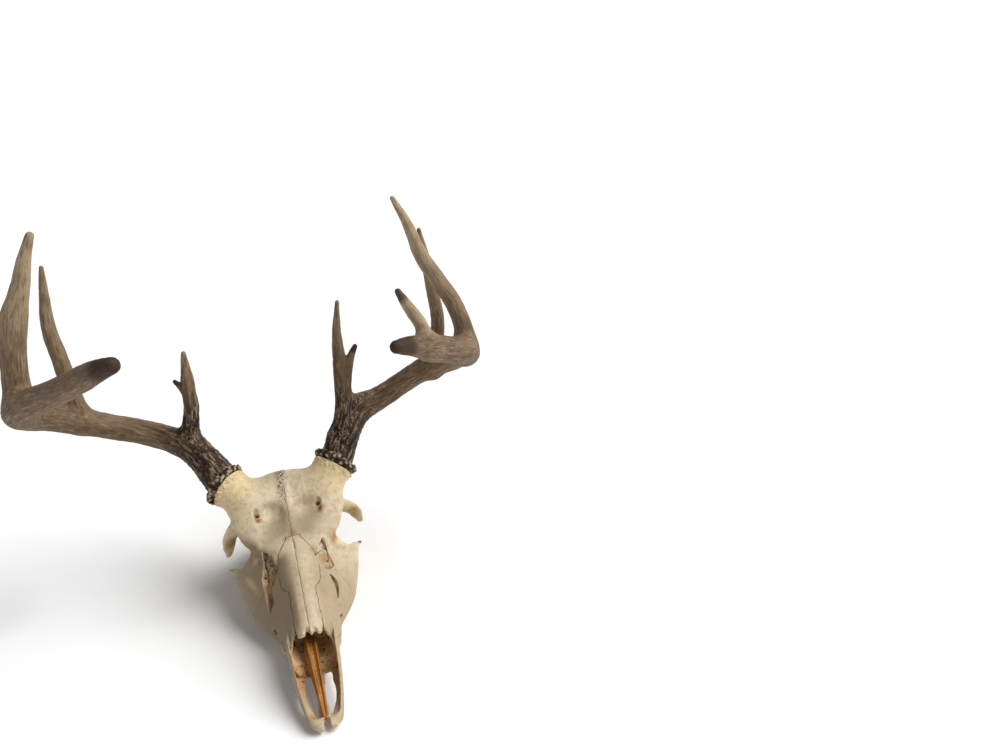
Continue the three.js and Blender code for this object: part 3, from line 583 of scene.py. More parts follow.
for points in ([(-25.5, 163, 76), (-23, 164, 71)], [(-27.5, 156, 69), (-25, 157.5, 63)],
               [(-29, 148.5, 60), (-26, 150, 55)]):
    skull.tube(points, [1.3, 1.2], 0.4, True, count=4)
# the low crest along the forehead's midline
skull.tube([(0, 204, 100), (0, 225, 111.2), (0, 242, 118.6)], [2.2, 3, 3], 7)
# the groove between the two nasals
skull.tube([(0, y, dorsal(y) + lift) for y, lift in ((76, 1.6), (120, 1.65), (168, 1.6))], [1.3, 1.4, 1.2], 1.0, True,
           count=20)

# Flat seats of the two antlers, and the floor that the jugular processes stand on.
ANTLER_SEATS = {1: (np.array((54.5, 246.2, 115.5)), unit((0.62, 0.52, 0.59))),
                -1: (np.array((-54.2, 245.4, 115.2)), unit((-0.64, 0.65, 0.41)))}
SEAT_REACH, SEAT_GAP, FLOOR_GAP = 32, 0.15, 0.1
for seat, aim in ANTLER_SEATS.values():
    view, x, y, z, _ = skull.block(seat - SEAT_REACH - 2, seat + SEAT_REACH + 2)
    near = np.sqrt((x - seat[0]) ** 2 + (y - seat[1]) ** 2 + (z - seat[2]) ** 2) < SEAT_REACH
    view[...] = np.where(near, np.maximum(view, along(aim, seat, x, y, z) + SEAT_GAP), view)
skull.stand(FLOOR_GAP)

# How hollow or how proud each place is; painted shade darkens the hollows.
hollow = Solid(skull.low, SKULL_FAR, SKULL_STEP)
hollow.field = np.clip(skull.field, -6, 6)
hollow.soften(HOLLOW_ROUNDING)


# ---------------------------------------------------------------- bone material
# Dry bone bleached to a warm ivory: yellower towards the pedicles, greyer on the muzzle, with brown stains
# where soft tissue sat in the holes, dark sutures, fine pores and faint grain along the head. Painted shade
# darkens the hollows, the flank on the deer's right and the forehead's hollow, and painted light makes the
# airway's brown lining paler deep inside.
bone = Nodes("dry_bone")
grain = bone.noise(2.2, 4.0, (1, 0.22, 1))
patch = bone.noise(28, 3.0)
speck = bone.noise(1.1, 2.0)
mottle = bone.noise(6, 4.0, distortion=0.6)
# painted light: the airway's brown lining turns paler deep in the passage
lining_tone = bone.coats(
    bone.mix(bone.attribute("painted_light_deep"), srgb("#B88E60"), srgb("#F2D2A2")),
    ("#96703F", bone.ramp(mottle, 0.35, 0.65, 0.0, 0.5)))
tone = bone.coats(
    bone.mix(bone.ramp(patch, 0.35, 0.68), srgb("#C8B697"), srgb("#DACAAB")),
    ("#DEC797", bone.attribute("warm"), 0.75),
    # the muzzle's own greyer tone, together with painted shade on the right flank and in the forehead's hollow
    ("#927E62", bone.attribute("grey_and_painted_shade"), 0.9),
    # a darker coat of painted shade on the deer's right flank, which is turned from the light
    ("#5E4C3C", bone.attribute("painted_flank_shade"), 0.4),
    ("#98815F", bone.ramp(mottle, 0.48, 0.7), 0.4),
    ("#8A724F", bone.ramp(grain, 0.55, 0.75), 0.25),
    # painted shade in the hollows, and the dark weathered tip of the left cheek bone
    ("#5F442A", bone.attribute("painted_shade_and_dark_spots"), bone.ramp(mottle, 0.2, 0.6, 0.55, 1.0), 0.85),
    ("#A4763A", bone.attribute("stain"), bone.ramp(mottle, 0.25, 0.6, 0.45, 1.0)))
tone = bone.coats(
    bone.mix(bone.attribute("lining"), tone, lining_tone),
    ("#6B4526", bone.attribute("lining"), bone.ramp(bone.noise(3.2, 1.0), 0.62, 0.68)),
    ("#5A4430", bone.attribute("seam"), bone.ramp(bone.noise(7, 2.0), 0.3, 0.6, 0.35, 1.0)),
    ("#4E4033", bone.attribute("grit"), bone.ramp(bone.noise(1.9, 1.5), 0.5, 0.56), 0.85),
    ("#6E5839", bone.ramp(speck, 0.66, 0.74), 0.35))
bone.link(tone, "Base Color")
bone.link(bone.ramp(mottle, 0.3, 0.7, 0.5, 0.66), "Roughness")
bone.shader.inputs["Subsurface Weight"].default_value = 0.08
bone.shader.inputs["Subsurface Radius"].default_value = (1.0, 0.7, 0.4)
bone.shader.inputs["Subsurface Scale"].default_value = 0.002
bone.shader.inputs["Specular IOR Level"].default_value = 0.35
bumps = bone.bump(speck, 0.12, 0.5)
bumps = bone.bump(grain, 0.25, 0.5, bumps)
bone.link(bone.bump(mottle, 0.4, 0.35, bumps), "Normal")


# ---------------------------------------------------------------- the bones, parted at their sutures
# Each bone is its own closed piece. Sutures wander, and most of all in the forehead's midline. Bone skin is
# a little lumpy, rougher in the collars under the antlers; dirt has settled in the sutures, and painted shade
# darkens the hollows.
BOX_MARGIN = 0.1 * MM  # how far the pieces keep inside the solids' box


def skin(field, low, step):
    """The largest closed surface where field is zero, as points in millimetres and four-sided faces."""
    grid = openvdb.FloatGrid(background=3.0)
    grid.copyFromArray(np.clip(np.pad(field, 2, constant_values=3.0), -3, 3).astype(np.float32))
    points, _, quads = grid.convertToPolygons(isovalue=0.0, adaptivity=0.0)
    return largest_body((points - 2) * step + low, quads)


def make_piece(name, points, quads, nodes, attributes=None, normals=None):
    """A smooth mesh object in the row frame, shaded by normals where they are given."""
    mesh = bpy.data.meshes.new(name)
    inside = np.clip(place(points), np.array(cad_box[0]) + BOX_MARGIN, np.array(cad_box[1]) - BOX_MARGIN)
    mesh.from_pydata(inside.tolist(), [], quads.tolist())
    for key, values in (attributes or {}).items():
        layer = mesh.attributes.new(key, "FLOAT", "POINT")
        layer.data.foreach_set("value", np.asarray(values, np.float32))
    mesh.polygons.foreach_set("use_smooth", np.ones(len(mesh.polygons), bool))
    if normals is not None:
        mesh.normals_split_custom_set_from_vertices(normals.tolist())
    mesh.materials.append(nodes.material)
    return add_object(name, mesh)


def largest_body(points, quads):
    """Keeps the body with the most points, so that no crumb of a thin wall stays."""
    edges = np.vstack([quads[:, [0, 1]], quads[:, [1, 2]], quads[:, [2, 3]]])
    label = np.arange(len(points))
    while True:
        low = np.minimum(label[edges[:, 0]], label[edges[:, 1]])
        new = label.copy()
        np.minimum.at(new, edges[:, 0], low)
        np.minimum.at(new, edges[:, 1], low)
        new = new[new]
        if (new == label).all():
            break
        label = new
    while (label[label] != label).any():
        label = label[label]
    names, counts = np.unique(label, return_counts=True)
    keep = label == names[counts.argmax()]
    return points[keep], (np.cumsum(keep) - 1)[quads[keep[quads[:, 0]]]]


def normals_of(points, quads):
    """Outward unit normals at the points of a surface from skin."""
    total = np.zeros_like(points)
    a, b, c, d = (points[quads[:, k]] for k in range(4))
    normal = np.cross(c - a, d - b)
    for k in range(4):
        np.add.at(total, quads[:, k], normal)
    return total / np.maximum(np.linalg.norm(total, axis=1), 1e-9)[:, None]


def relief(points, size, seed, octaves=3):
    """Layered noise from about -1 to 1 at points, whose largest lumps are size across."""
    total, weight = 0, 1.0
    for k in range(octaves):
        q = points / (size * 0.5 ** k)
        total = total + weight * lattice(q[:, 0], q[:, 1], q[:, 2], seed + k)
        weight *= 0.5
    return total


def fade(value, low, high):
    """Rises smoothly from 0 where value is low to 1 where it is high."""
    t = np.clip((value - low) / (high - low), 0, 1)
    return t * t * (3 - 2 * t)


def sample(block, points):
    """The block's field at points, blended between its eight nearest values."""
    at = (points - block.low) / block.step
    base = np.clip(np.floor(at).astype(int), 0, block.count - 2)
    t = np.clip(at - base, 0, 1)
    total = 0
    for corner in np.ndindex(2, 2, 2):
        weight = np.prod(np.where(corner, t, 1 - t), axis=1)
        total = total + weight * block.field[tuple((base + corner).T)]
    return total


def wander(t, seed):
    """How far a suture strays from its line at t."""
    return 0.5 * np.sin(t / 2.9 + seed) + 0.32 * np.sin(t / 1.37 + 2.1 * seed) + 0.22 * np.sin(t / 0.66 + 3.7 * seed)


midline_play = profile({60: 0.2, 150: 0.35, 178: 0.7, 215: 1.3, 245: 1.0, 292: 0.5})
premaxilla_edge = profile({0: 57, 14: 60, 44: 76, 60: 98})
nasal_edge = profile({70: 10.5, 86: 13, 113: 12.4, 121: 13, 127: 16, 134: 19.2, 150: 19.6, 157: 18, 165: 13,
                      170: 9.8, 174: 7.2})
nasal_depth = profile({110: 8, 128: 14, 176: 14})
frontal_floor = profile({150: 72, 168: 72, 190: 77, 203: 72, 206: 54, 222: 54, 226: 79, 244: 85, 250: 100})
frontal_front = profile({0: 150, 18: 152, 24: 163, 40: 172})
occipital_front = profile({0: 262, 52: 262, 76: 277, 140: 277})
SEAM_GAP, COLLAR_HEIGHT = 0.1, 3.0
# how dark dirt has made the sutures that each bone sets, and those along the midline
SEAM_SHADE = {"nasal": 0.9, "frontal": 0.85, "premaxilla": 0.3, "zygomatic": 0.05, "maxilla": 0.35,
              "occipital": 0.6, "temporal": 0.5, "parietal": 0.5, "sphenoid": 0.3}
MIDLINE_SHADE = {"nasal": 0.12, "frontal": 0.35}


def off_midline(x, y):
    """Distance from the wandering midline, positive on the deer's left."""
    return x - midline_play(y) * wander(y, 1.0)


def highest(*fields):
    """The highest of several fields; of distances to shapes, that is the space that the shapes share."""
    return reduce(np.maximum, fields)


# how far each place lies outside each bone; a bone leaves out what the bones before it take
REGIONS = {
    "nasal": lambda x, y, z: highest(
        np.abs(x) - nasal_edge(y) - 0.5 * wander(y, 2.0), dorsal(y) - nasal_depth(y) - z, 60 - y,
        y - 175.5 + 0.4 * wander(x, 2.5)),
    "premaxilla": lambda x, y, z: y - premaxilla_edge(z) + 0.8 * wander(z, 3.0),
    "frontal": lambda x, y, z: np.minimum(
        highest(frontal_floor(y) + 0.6 * wander(y, 4.0) - z, frontal_front(np.abs(x)) + 0.6 * wander(x, 5.0) - y,
               y - 249 + 0.9 * wander(x, 6.0)),
        highest(30 - np.abs(x), 84 - z, 214 - y, 84 + (y - 240) * 0.82 - z)),
    "zygomatic": lambda x, y, z: highest(
        30 - np.abs(x), 152 - (np.abs(x) - 30) * 0.667 - y + 0.8 * wander(z, 7.0), 29 - z, z - 84, y - 216),
    "maxilla": lambda x, y, z: y - 182,
    "occipital": lambda x, y, z: occipital_front(z) - y + 0.8 * wander(x, 8.0),
    "temporal": lambda x, y, z: highest(19 - np.abs(x), 222 - y, z - 78 + 0.8 * wander(y, 9.0)),
    "parietal": lambda x, y, z: highest(205 - y, 56 - z),
    "sphenoid": lambda x, y, z: -30.0,
}
BONE_BOXES = {
    "nasal": ((-22, 64, 38), (22, 178, 92)), "premaxilla": ((-30, -2, -1), (30, 100, 74)),
    "frontal": ((-73, 146, 50), (73, 276, 134)), "zygomatic": ((-73, 120, 24), (73, 216, 88)),
    "maxilla": ((-64, 54, -1), (64, 186, 92)), "occipital": ((-46, 256, -1), (46, 296, 122)),
    "temporal": ((-60, 218, -1), (60, 284, 84)), "parietal": ((-46, 200, 52), (46, 284, 122)),
    "sphenoid": ((-44, 176, 4), (44, 290, 84)),
}
CHEEK_TIP = (67, 204, 43)  # the weathered point below the left orbit
# where brown stains lie, and how far each spreads
STAINS = [((30.5, 200, 97), 7), ((31, 206, 100), 4), ((-31, 202, 98), 7), ((39, 177, 78), 9), ((-41, 179, 77), 7),
          ((0, 22, 8), 6), ((-10, 12, 10), 8), ((0, 178, 90), 5), ((66, 214, 78), 11), ((-62, 213, 70), 9),
          ((14, 8, 8), 5), ((-27, 154, 62), 9), ((-31, 146, 53), 8), ((-31, 133, 43), 6), ((26, 158, 66.5), 8),
          ((31, 134, 45), 4.5)]

PAIRED = {"nasal", "premaxilla", "frontal", "zygomatic", "maxilla", "temporal"}
SIDES = {"_left": 1, "_right": -1}  # the deer's own sides, and the sign of x there
done = []

for bone_name, region in REGIONS.items():
    low, high = BONE_BOXES[bone_name]
    view, x, y, z, start = skull.block(low, high)
    own = np.maximum(view, region(x, y, z) + SEAM_GAP)
    for earlier in done:
        own = np.maximum(own, SEAM_GAP - REGIONS[earlier](x, y, z))
    done.append(bone_name)
    for side_name, sign in (SIDES if bone_name in PAIRED else {"": 0}).items():
        field = np.maximum(own, SEAM_GAP - sign * off_midline(x, y)) if sign else own
        points, quads = skin(field, skull.low + start * skull.step, skull.step)
        normal = normals_of(points, quads)
        px, py, pz = points.T
        seam, shade, before = np.full(len(points), 9.0), np.zeros(len(points)), np.full(len(points), EMPTY)
        for other, part in REGIONS.items():
            value = part(px, py, pz)
            if other != bone_name:
                gap = np.maximum(value, -before)
                shade = np.where(gap < seam, min(SEAM_SHADE[other], SEAM_SHADE[bone_name]), shade)
                seam = np.minimum(seam, gap)
            before = np.minimum(before, value)
        if sign:
            middle = np.abs(off_midline(px, py))
            shade = np.where(middle < seam, MIDLINE_SHADE.get(bone_name, 0.5), shade)
            seam = np.minimum(seam, middle)
        open_skin = fade(np.abs(sample(skull, points)), 0.9, 0.3)
        lumps = 0.22 * relief(points, 9, 41) + 0.08 * relief(points, 2.4, 47, 2)
        if bone_name == "frontal":
            seat, aim = ANTLER_SEATS[sign]
            below = -(points - seat) @ aim
            collar = fade(below, 10, 2) * fade(below, 0.4, 1.4) * fade(pz, 88, 96)
            lumps = lumps + collar * (COLLAR_HEIGHT * np.abs(relief(points, 4.2, 57, 2)) - 0.3)
        points = points + normal * (lumps * fade(seam, 0.3, 1.6) * open_skin)[:, None]
        stain = np.zeros(len(points))
        for centre, reach in STAINS:
            stain = np.maximum(stain, fade(np.linalg.norm(points - np.array(centre), axis=1), reach, reach * 0.25))
        dark_tip = 1.2 * fade(np.linalg.norm(points - np.array(CHEEK_TIP), axis=1), 4.5, 2)
        wide, ceiling = np.abs(px), np.where(py > 70, dorsal(py) - 2, wall_top(py) - 1)
        lining = fade(sample(airway, points), 1.3, 0.7) * fade(py, 16, 58) * fade(pz, ceiling, ceiling - 2)
        lining = lining * fade(normal[:, 0] * np.sign(px), 0.4, 0.05)
        # painted shade on the deer's right flank, where the normals face away from the light
        painted_flank_shade = fade(-normal[:, 0], 0.1, 0.6) * fade(-px, 4, 7) * fade(py, 62, 90) * fade(py, 205, 178)
        muzzle_grey = fade(py, 195, 125) * (0.35 + 0.5 * fade(wide, 6, 18))
        # painted shade in the forehead's hollow between the supraorbital holes
        brow_hollow_shade = 0.8 * fade(np.abs(py - 188), 24, 5) * fade(wide, 38, 14)
        off_grit = np.abs(px + 1.5 - 1.5 * wander(py / 2, 5.0))
        attributes = {
            "seam": fade(seam, 0.5, 0.15) * shade,  # dirt in the sutures
            # painted shade in the hollows, and the dark weathered cheek tip
            "painted_shade_and_dark_spots": np.maximum(fade(-sample(hollow, points), 0.15, 1.1) * (1 - 0.8 * lining), dark_tip),
            "stain": 0.95 * stain,
            "lining": lining,  # the brown skin of the airway
            "painted_light_deep": fade(py, 58, 76),  # painted light, paler deep in the passage
            "warm": fade(wide + 0.5 * (pz - 100), 26, 52) * fade(py, 196, 226),
            # the muzzle's own greyness, with painted shade on the right flank and in the forehead's hollow
            "grey_and_painted_shade": highest(muzzle_grey, painted_flank_shade, brow_hollow_shade),
            "painted_flank_shade": painted_flank_shade * fade(wide, 60, 30),  # a darker second coat of painted shade on the deer's right flank
            "grit": fade(off_grit, 7.5, 1.5) * fade(py, 196, 230) * fade(py, 266, 246),
        }
        # at a suture the bones are shaded as one surface, so that only its fine dark line shows
        slope = np.stack([sample(skull, points + d) - sample(skull, points - d) for d in 0.8 * np.eye(3)], 1)
        slope = slope / np.maximum(np.linalg.norm(slope, axis=1), 1e-6)[:, None]
        rim = (fade(seam, 1.5, 0.6) * open_skin)[:, None]
        normals = normals_of(points, quads) * (1 - rim) + slope * rim
        piece = make_piece(bone_name + side_name + "_bone", points, quads, bone, attributes, normals)
        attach(piece, "root")
        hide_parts(bone_name + side_name)

# ---------------------------------------------------------------- cheek teeth
# Six two-lobed crowns a side, worn level, with folded enamel crescents cut into them. Painted shade darkens
# the crescents' grooves, a band just above the floor and the crowns' tops where they meet the maxillae. They
# are rooted in the maxillae, and the front of the skull rests on them.
TOOTH_FIRST, TOOTH_LENGTHS, TOOTH_GAP = 102, (10.5, 11.5, 12, 14.5, 15.5, 14), 0.15
tooth_row = profile({102: 22.5, 135: 27, 180: 29})
LOBE_RADII = [3.85, 4.85]
LOBES = []  # x and y of each lobe's middle
start = TOOTH_FIRST
for length in TOOTH_LENGTHS:
    LOBES += [(float(tooth_row(y)), y) for y in (start + 0.27 * length, start + 0.73 * length)]
    start += length

enamel = Nodes("tooth_enamel_and_dentine")
tooth_tone = enamel.mix(enamel.ramp(enamel.noise(5, 3.0), 0.35, 0.7), srgb("#D9CBAE"), srgb("#B39A72"))
# painted shade in the grooves, just above the floor and at the crowns' tops
tooth_tone = enamel.coats(tooth_tone, ("#4F3822", enamel.attribute("painted_shade_and_dark_spots")))
enamel.link(tooth_tone, "Base Color")
enamel.shader.inputs["Roughness"].default_value = 0.35
enamel.shader.inputs["Subsurface Weight"].default_value = 0.08
enamel.shader.inputs["Subsurface Scale"].default_value = 0.002

for side_name, sign in SIDES.items():
    row = Solid((14, 99, -1), (38, 183, 19), 0.5)
    for x, y in LOBES:
        row.tube([(x, y, 3.5), (x, y, 16)], LOBE_RADII, 1.6, flat=1.25, across=(1, 0, 0), count=3)
    row.stand(TOOTH_GAP)
    for x, y in LOBES:
        row.tube([(x + 1.6, y - 1.7, 0), (x - 0.8, y, 0), (x + 1.6, y + 1.7, 0)], [0.5, 1.0, 0.5], 0.4, True, count=6)
    points, quads = skin(row.field, row.low, row.step)
    height = points[:, 2]
    # painted shade: the crescents' grooves, a band just above the floor, and the tops where the crowns meet the
    # maxillae
    painted_shade_and_dark_spots = np.maximum(fade(height, 1.3, 0.5) * fade(height, 0.2, 0.4), 0.5 * fade(height, 11, 15))
    teeth = make_piece("teeth" + side_name, points * (sign, 1, 1), quads[:, ::sign], enamel, {"painted_shade_and_dark_spots": painted_shade_and_dark_spots})
    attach(teeth, "root")

# ---------------------------------------------------------------- vomer
# A thin trough of translucent amber bone that runs along the middle of the muzzle's floor. It is fused to the
# palate behind, and lies free between the two long openings in front.
vomer = Solid((-9, 9, 0), (9, 112, 46), 0.5)
vomer.tube([(0, 14, 9.5), (-0.6, 40, 16), (-1.6, 70, 24), (-1.8, 106, 36)], [3.2, 4.8, 6.3, 6.6], 0.5, flat=1.45,
           count=24)
vomer.tube([(0.4, 10, 13), (0.2, 40, 22), (-0.4, 70, 32), (-0.6, 110, 46)], [1.2, 2.3, 3.2, 4.0], 1.2, True,
           flat=2.0, count=24)

amber = Nodes("amber_vomer_bone")
streak = amber.noise(2.6, 3.0, (1, 0.12, 0.3))
vomer_tone = amber.mix(amber.ramp(streak, 0.35, 0.7), srgb("#B47A2E"), srgb("#86541A"))
vomer_tone = amber.coats(vomer_tone, ("#5C3710", amber.ramp(amber.noise(9, 2.0), 0.45, 0.75, 0.0, 0.5)))
amber.link(vomer_tone, "Base Color")
amber.shader.inputs["Roughness"].default_value = 0.42
amber.shader.inputs["Subsurface Weight"].default_value = 0.15
amber.shader.inputs["Subsurface Scale"].default_value = 0.002

points, quads = skin(vomer.field, vomer.low, vomer.step)
points = points + normals_of(points, quads) * (0.15 * relief(points, 6, 71))[:, None]
vomer_piece = make_piece("vomer_bone", points, quads, amber)
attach(vomer_piece, "root")
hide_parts("vomer")

# ---------------------------------------------------------------- antlers
# Bone grown and shed each year: a beaded burr, a dark ridged beam, and tines that are paler and smoother
# towards their polished tips. Each limb is the points of its middle line and the radii spread along it.
ANTLER_STEP, LIMB_STEPS = 0.97, 60
BURR_RING, BURR_THICK, BEAD_DEPTH, BURR_AT, BURR_REACH = 20.2, 4.4, 0.9, 4.5, 34
ANTLER_LIMBS = {
    1: {
        "beam": ([(54.5, 246.2, 115.5), (73, 266, 138), (90, 282, 153), (127, 291, 165.5), (152, 291, 178.5),
            (175, 283, 193), (193, 260, 211), (200, 231, 230), (192, 204, 245), (172, 179, 260),
            (151, 155, 277), (132, 138, 290), (115, 121, 300)],
            [18, 15.5, 14, 12.5, 12, 13.5, 15, 15, 13.5, 13, 13, 10, 6]),
        "brow": ([(68, 262, 142), (75, 266, 174), (78, 272, 212), (80, 278, 253), (85, 282, 283)],
            [10, 8, 7.5, 4.8, 2.2]),
        "brow_fork": ([(80, 268, 190), (85, 270, 210), (90, 272, 225), (96, 272, 236)], [5.5, 5.2, 4.4, 2.4]),
        "second": ([(176, 279, 190), (185, 281, 228), (187, 283, 251), (184, 286, 280), (181, 291, 316),
            (178, 295, 342)], [9.5, 8, 7, 6, 4.6, 2.2]),
        "third": ([(203, 229, 229), (202, 231, 255), (195, 237, 281), (183, 241, 305), (169, 247, 331),
            (159, 254, 364), (148, 259, 389)], [12, 9.5, 8.5, 8, 7, 5, 2.4]),
        "fourth": ([(151, 155, 277), (145, 160, 300), (137, 164, 315), (129, 168, 331)], [9, 6.5, 5.5, 3.0]),
    },
    -1: {
        "beam": ([(-54.2, 245.4, 115.2), (-79, 279, 143), (-104, 300, 153), (-133, 314, 161), (-158, 317, 170),
            (-182, 314, 183), (-206, 302, 200), (-220, 281, 218), (-219, 254, 236), (-201, 226, 256),
            (-173, 194, 277), (-148, 168, 296), (-127, 147, 312), (-113, 133, 321)],
            [18, 15.5, 14, 13, 13, 13.5, 14, 16, 15.5, 13.5, 12, 11.7, 10.5, 7]),
        "brow": ([(-84, 288, 156), (-76, 292, 186), (-74, 295, 213), (-72, 300, 247)], [10, 7.5, 6.5, 2.4]),
        "brow_fork": ([(-75, 294, 202), (-80, 295, 211), (-86, 299, 218)], [5, 4, 2.2]),
        "second": ([(-184, 312, 186), (-186, 316, 222), (-188, 320, 253), (-191, 327, 286), (-187, 334, 322),
            (-184, 337, 343)], [11, 9, 8, 7, 5, 2.2]),
        "third": ([(-219, 256, 236), (-217, 259, 261), (-213, 261, 287), (-204, 263, 321), (-190, 263, 352),
            (-179, 265, 380), (-171, 266, 396)], [14, 12, 11.5, 12, 9, 6.5, 3.6]),
    },
}
# for each limb: the width of the web in its fork, how far out it starts, and how pale its root and its tip are
LIMB_TRAITS = {"beam": (0, 0, 0.0, 0.47), "brow": (12, 40, 0.0, 0.55), "brow_fork": (2.5, 110, 0.3, 0.4),
               "second": (10, 150, 0.42, 0.66), "third": (10, 210, 0.5, 0.92), "fourth": (9, 290, 0.8, 1.0)}
DARK_TIPS = {"beam": 30, "brow_fork": 9, "fourth": 13}  # length of the dark end of a limb
BEAM_PARTS = {1: ("base", "middle", "bend", "front", "tip"), -1: ("base", "middle", "bend", "tip")}

# Nearly black brown at the burr with cream crests, grey brown along the beam, and paler on the tines the
# further they reach out; the tips of the beams and the short tines are dark again.
antler = Nodes("antler_bone")
fine = antler.noise(1.3, 3.0)
cloud = antler.noise(22, 3.0)
pale = antler.attribute("pale")
rugged = antler.attribute("rugged")
along_limb = antler.add("ShaderNodeCombineXYZ", {0: antler.attribute("across_1"), 1: antler.attribute("across_2"),
                                                 2: antler.attribute("along")}).outputs[0]
streak = antler.noise(1.5, 3.0, (1, 1, 0.11), 0.35, along_limb)
band = antler.noise(5.5, 2.0, (1, 1, 0.25), 0.4, along_limb)
hide = antler.coats(
    antler.mix(antler.ramp(pale, 0.0, 0.45), srgb("#23110A"), srgb("#6F5A45")),
    ("#AD9878", antler.ramp(pale, 0.45, 1.0)),
    ("#4C3826", antler.ramp(cloud, 0.45, 0.7), 0.35),
    ("#23140B", antler.ramp(streak, 0.48, 0.38), antler.ramp(rugged, 0.0, 1.0, 0.4, 0.8)),
    ("#B8966D", antler.ramp(streak, 0.55, 0.63), antler.ramp(band, 0.47, 0.6, 0.1, 1.0),
     antler.ramp(rugged, 0.0, 1.0, 0.4, 0.58)),
    ("#20140C", antler.attribute("groove"), antler.ramp(fine, 0.3, 0.6, 0.5, 0.9)),
    ("#C9B594", antler.attribute("crest"), antler.ramp(fine, 0.35, 0.6, 0.25, 1.0)),
    ("#2A1B12", antler.attribute("burnt"), 0.85))
antler.link(hide, "Base Color")
antler.link(antler.ramp(fine, 0.3, 0.7, 0.55, 0.75), "Roughness")
antler.shader.inputs["Specular IOR Level"].default_value = 0.22
antler.link(antler.bump(streak, 0.6, 0.6, antler.bump(fine, 0.3, 0.5)), "Normal")


def cells(points, size, seed):
    """Distance in millimetres to the nearest of points scattered one to each cube of the given size."""
    q = points / size
    base = np.floor(q).astype(np.int64)
    best = np.full(len(points), 9.0)
    for shift in np.ndindex(3, 3, 3):
        cell = base + np.array(shift) - 1
        code, spot = hash_cell(*cell.T, seed), np.empty((len(points), 3))
        for k in range(3):
            code = scramble(code)
            spot[:, k] = cell[:, k] + 0.15 + 0.7 * ((code ^ (code >> 15)) % 1024 / 1024)
        best = np.minimum(best, np.linalg.norm(q - spot, axis=1))
    return best * size


CHUNK = 20000  # points handled at a time, to save memory


def limb_coordinates(points, line, radii, start):
    """For each point: depth outside the limb, two offsets across it and the distance along it."""
    chord = np.gradient(line, axis=0)
    chord /= np.linalg.norm(chord, axis=1)[:, None]
    across, frames = np.cross(chord[0], (0.3, 0.2, 1.0)), []
    for direction in chord:
        across = unit(across - direction * (across @ direction))
        frames.append(across)
    frames = np.array(frames)
    run = np.concatenate([[0], np.cumsum(np.linalg.norm(np.diff(line, axis=0), axis=1))])
    nearest = np.empty(len(points), int)
    for i in range(0, len(points), CHUNK):
        gap = np.linalg.norm(points[i:i + CHUNK, None] - line[None], axis=2) - radii[None]
        nearest[i:i + CHUNK] = gap.argmin(1)
    offset = points - line[nearest]
    ahead = (offset * chord[nearest]).sum(1)
    v1 = (offset * frames[nearest]).sum(1)
    v2 = (offset * np.cross(chord[nearest], frames[nearest])).sum(1)
    depth = np.hypot(np.sqrt(v1 ** 2 + v2 ** 2) - radii[nearest], np.maximum(np.abs(ahead) - 6, 0))
    return depth, v1, v2, run[nearest] + ahead + start, run[-1] + start


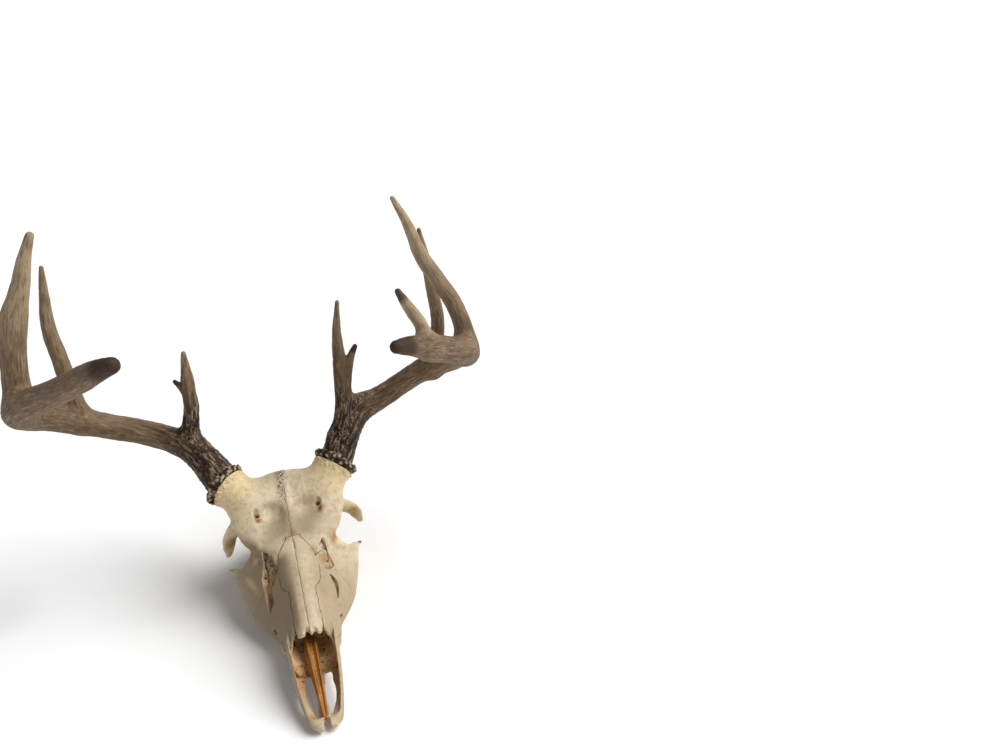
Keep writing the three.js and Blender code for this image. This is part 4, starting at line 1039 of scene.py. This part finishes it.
for side_name, sign in SIDES.items():
    limbs = ANTLER_LIMBS[sign]
    every = np.vstack([np.array(points, float) for points, _ in limbs.values()])
    body = Solid(every.min(0) - 26, every.max(0) + 18, ANTLER_STEP)
    for limb, (points, radii) in limbs.items():
        body.tube(points, radii, LIMB_TRAITS[limb][0], count=44 if limb == "beam" else 22)
    if sign > 0:  # the web in the fork between the beam and the brow tine
        body.tube([(78, 268, 190), (86, 275, 173), (102, 284, 166)], [3.5, 7.5, 8], 6, count=12)
    seat, aim = ANTLER_SEATS[sign]
    view, x, y, z, _ = body.block(seat - BURR_REACH - 2, seat + BURR_REACH + 2)
    t = along(aim, seat, x, y, z)
    out = np.sqrt(np.maximum((x - seat[0]) ** 2 + (y - seat[1]) ** 2 + (z - seat[2]) ** 2 - t * t, 0))
    bead = lattice(x / 4.2, y / 4.2, z / 4.2, 91)
    ring = np.sqrt((out - BURR_RING) ** 2 + (t - BURR_AT) ** 2) - BURR_THICK + BEAD_DEPTH - bead
    body.merge(view, ring, 2.5, False)
    view[...] = np.maximum(view, np.where(out < BURR_REACH, SEAT_GAP - t, -EMPTY))
    points, quads = skin(body.field, body.low, body.step)
    normal = normals_of(points, quads)

    weight_sum, ridge, far_out, burnt, pale = 0, 0, 0, 0, 0
    most, own_axes = np.zeros(len(points)), np.zeros((3, len(points)))
    for limb, (line, radii) in limbs.items():
        _, start, root, tip = LIMB_TRAITS[limb]
        curve, size = catmull(line, LIMB_STEPS), spread(radii, LIMB_STEPS)
        depth, v1, v2, run, end = limb_coordinates(points, curve, size, start)
        weight = np.exp(-np.clip(depth, 0, 40) / 1.8) + 1e-9
        own_axes = np.where(weight > most, MM * np.array([v1, v2, run]), own_axes)
        most = np.maximum(most, weight)
        bend = 1.2 * lattice(points[:, 0] / 11, points[:, 1] / 11, points[:, 2] / 11, 5)
        long_ridge = lattice(v1 / 3.0 + bend, v2 / 3.0, run / 26, 61 + len(limb))
        short_ridge = lattice(v1 / 1.9 + bend, v2 / 1.9 + bend, run / 9, 83 + len(limb))
        ridge = ridge + weight * (0.6 * long_ridge + 0.55 * short_ridge)
        if limb in DARK_TIPS:
            burnt = burnt + weight * fade(end - run, DARK_TIPS[limb], DARK_TIPS[limb] * 0.45)
        far_out = far_out + weight * run
        share = fade(run, 30, 115) if limb == "beam" else fade((run - start) / (end - start), 0.15, 0.85)
        pale = pale + weight * (root + (tip - root) * share)
        weight_sum = weight_sum + weight
    ridge, far_out, burnt, pale = (total / weight_sum for total in (ridge, far_out, burnt, pale))
    t = (points - seat) @ aim
    out = np.linalg.norm(points - seat - t[:, None] * aim, axis=1)
    burr = fade(t, 12, 9) * fade(out, BURR_REACH, BURR_REACH - 4)
    rugged = fade(far_out, 135, 25)
    pearl = fade(cells(points, 5.2, 17), 2.3, 0.7) * fade(far_out, 95, 50) * (1 - burr)
    depth = 0.16 + 0.20 * fade(far_out, 260, 100) + 0.34 * rugged
    crest_line = fade(np.abs(ridge - 0.28), 0.16, 0.03)
    shift = depth * np.clip(ridge, -0.9, 0.7) * 1.6 + 0.55 * pearl * rugged + 0.25 * relief(points, 12, 7)
    beads = fade(cells(points, 4.6, 29), 2.6, 1.1)
    shift = np.where(burr > 0, shift * (1 - burr) + burr * (1.3 * beads - 0.5), shift)
    shift = shift * fade(t, 0.5, 2.2)
    points = points + normal * shift[:, None]
    attributes = {
        "pale": pale,
        "groove": fade(-ridge, 0.1, 0.5) * (0.25 + 0.45 * rugged) * (1 - burr) + 0.75 * burr * (1 - beads),
        "crest": (crest_line * (0.12 + 0.28 * rugged) + 0.15 * pearl * rugged) * (1 - burr) + 0.95 * burr * beads,
        "burnt": burnt,
        "rugged": rugged * (1 - burr),
        "across_1": own_axes[0], "across_2": own_axes[1], "along": own_axes[2],
    }
    piece = make_piece("antler" + side_name, points, quads, antler, attributes)
    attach(piece, "root")
    nodes = ["beam_" + part for part in BEAM_PARTS[sign]] + [limb + "_tine" for limb in limbs if limb != "beam"]
    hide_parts(*["antler" + side_name + "_" + node for node in nodes])
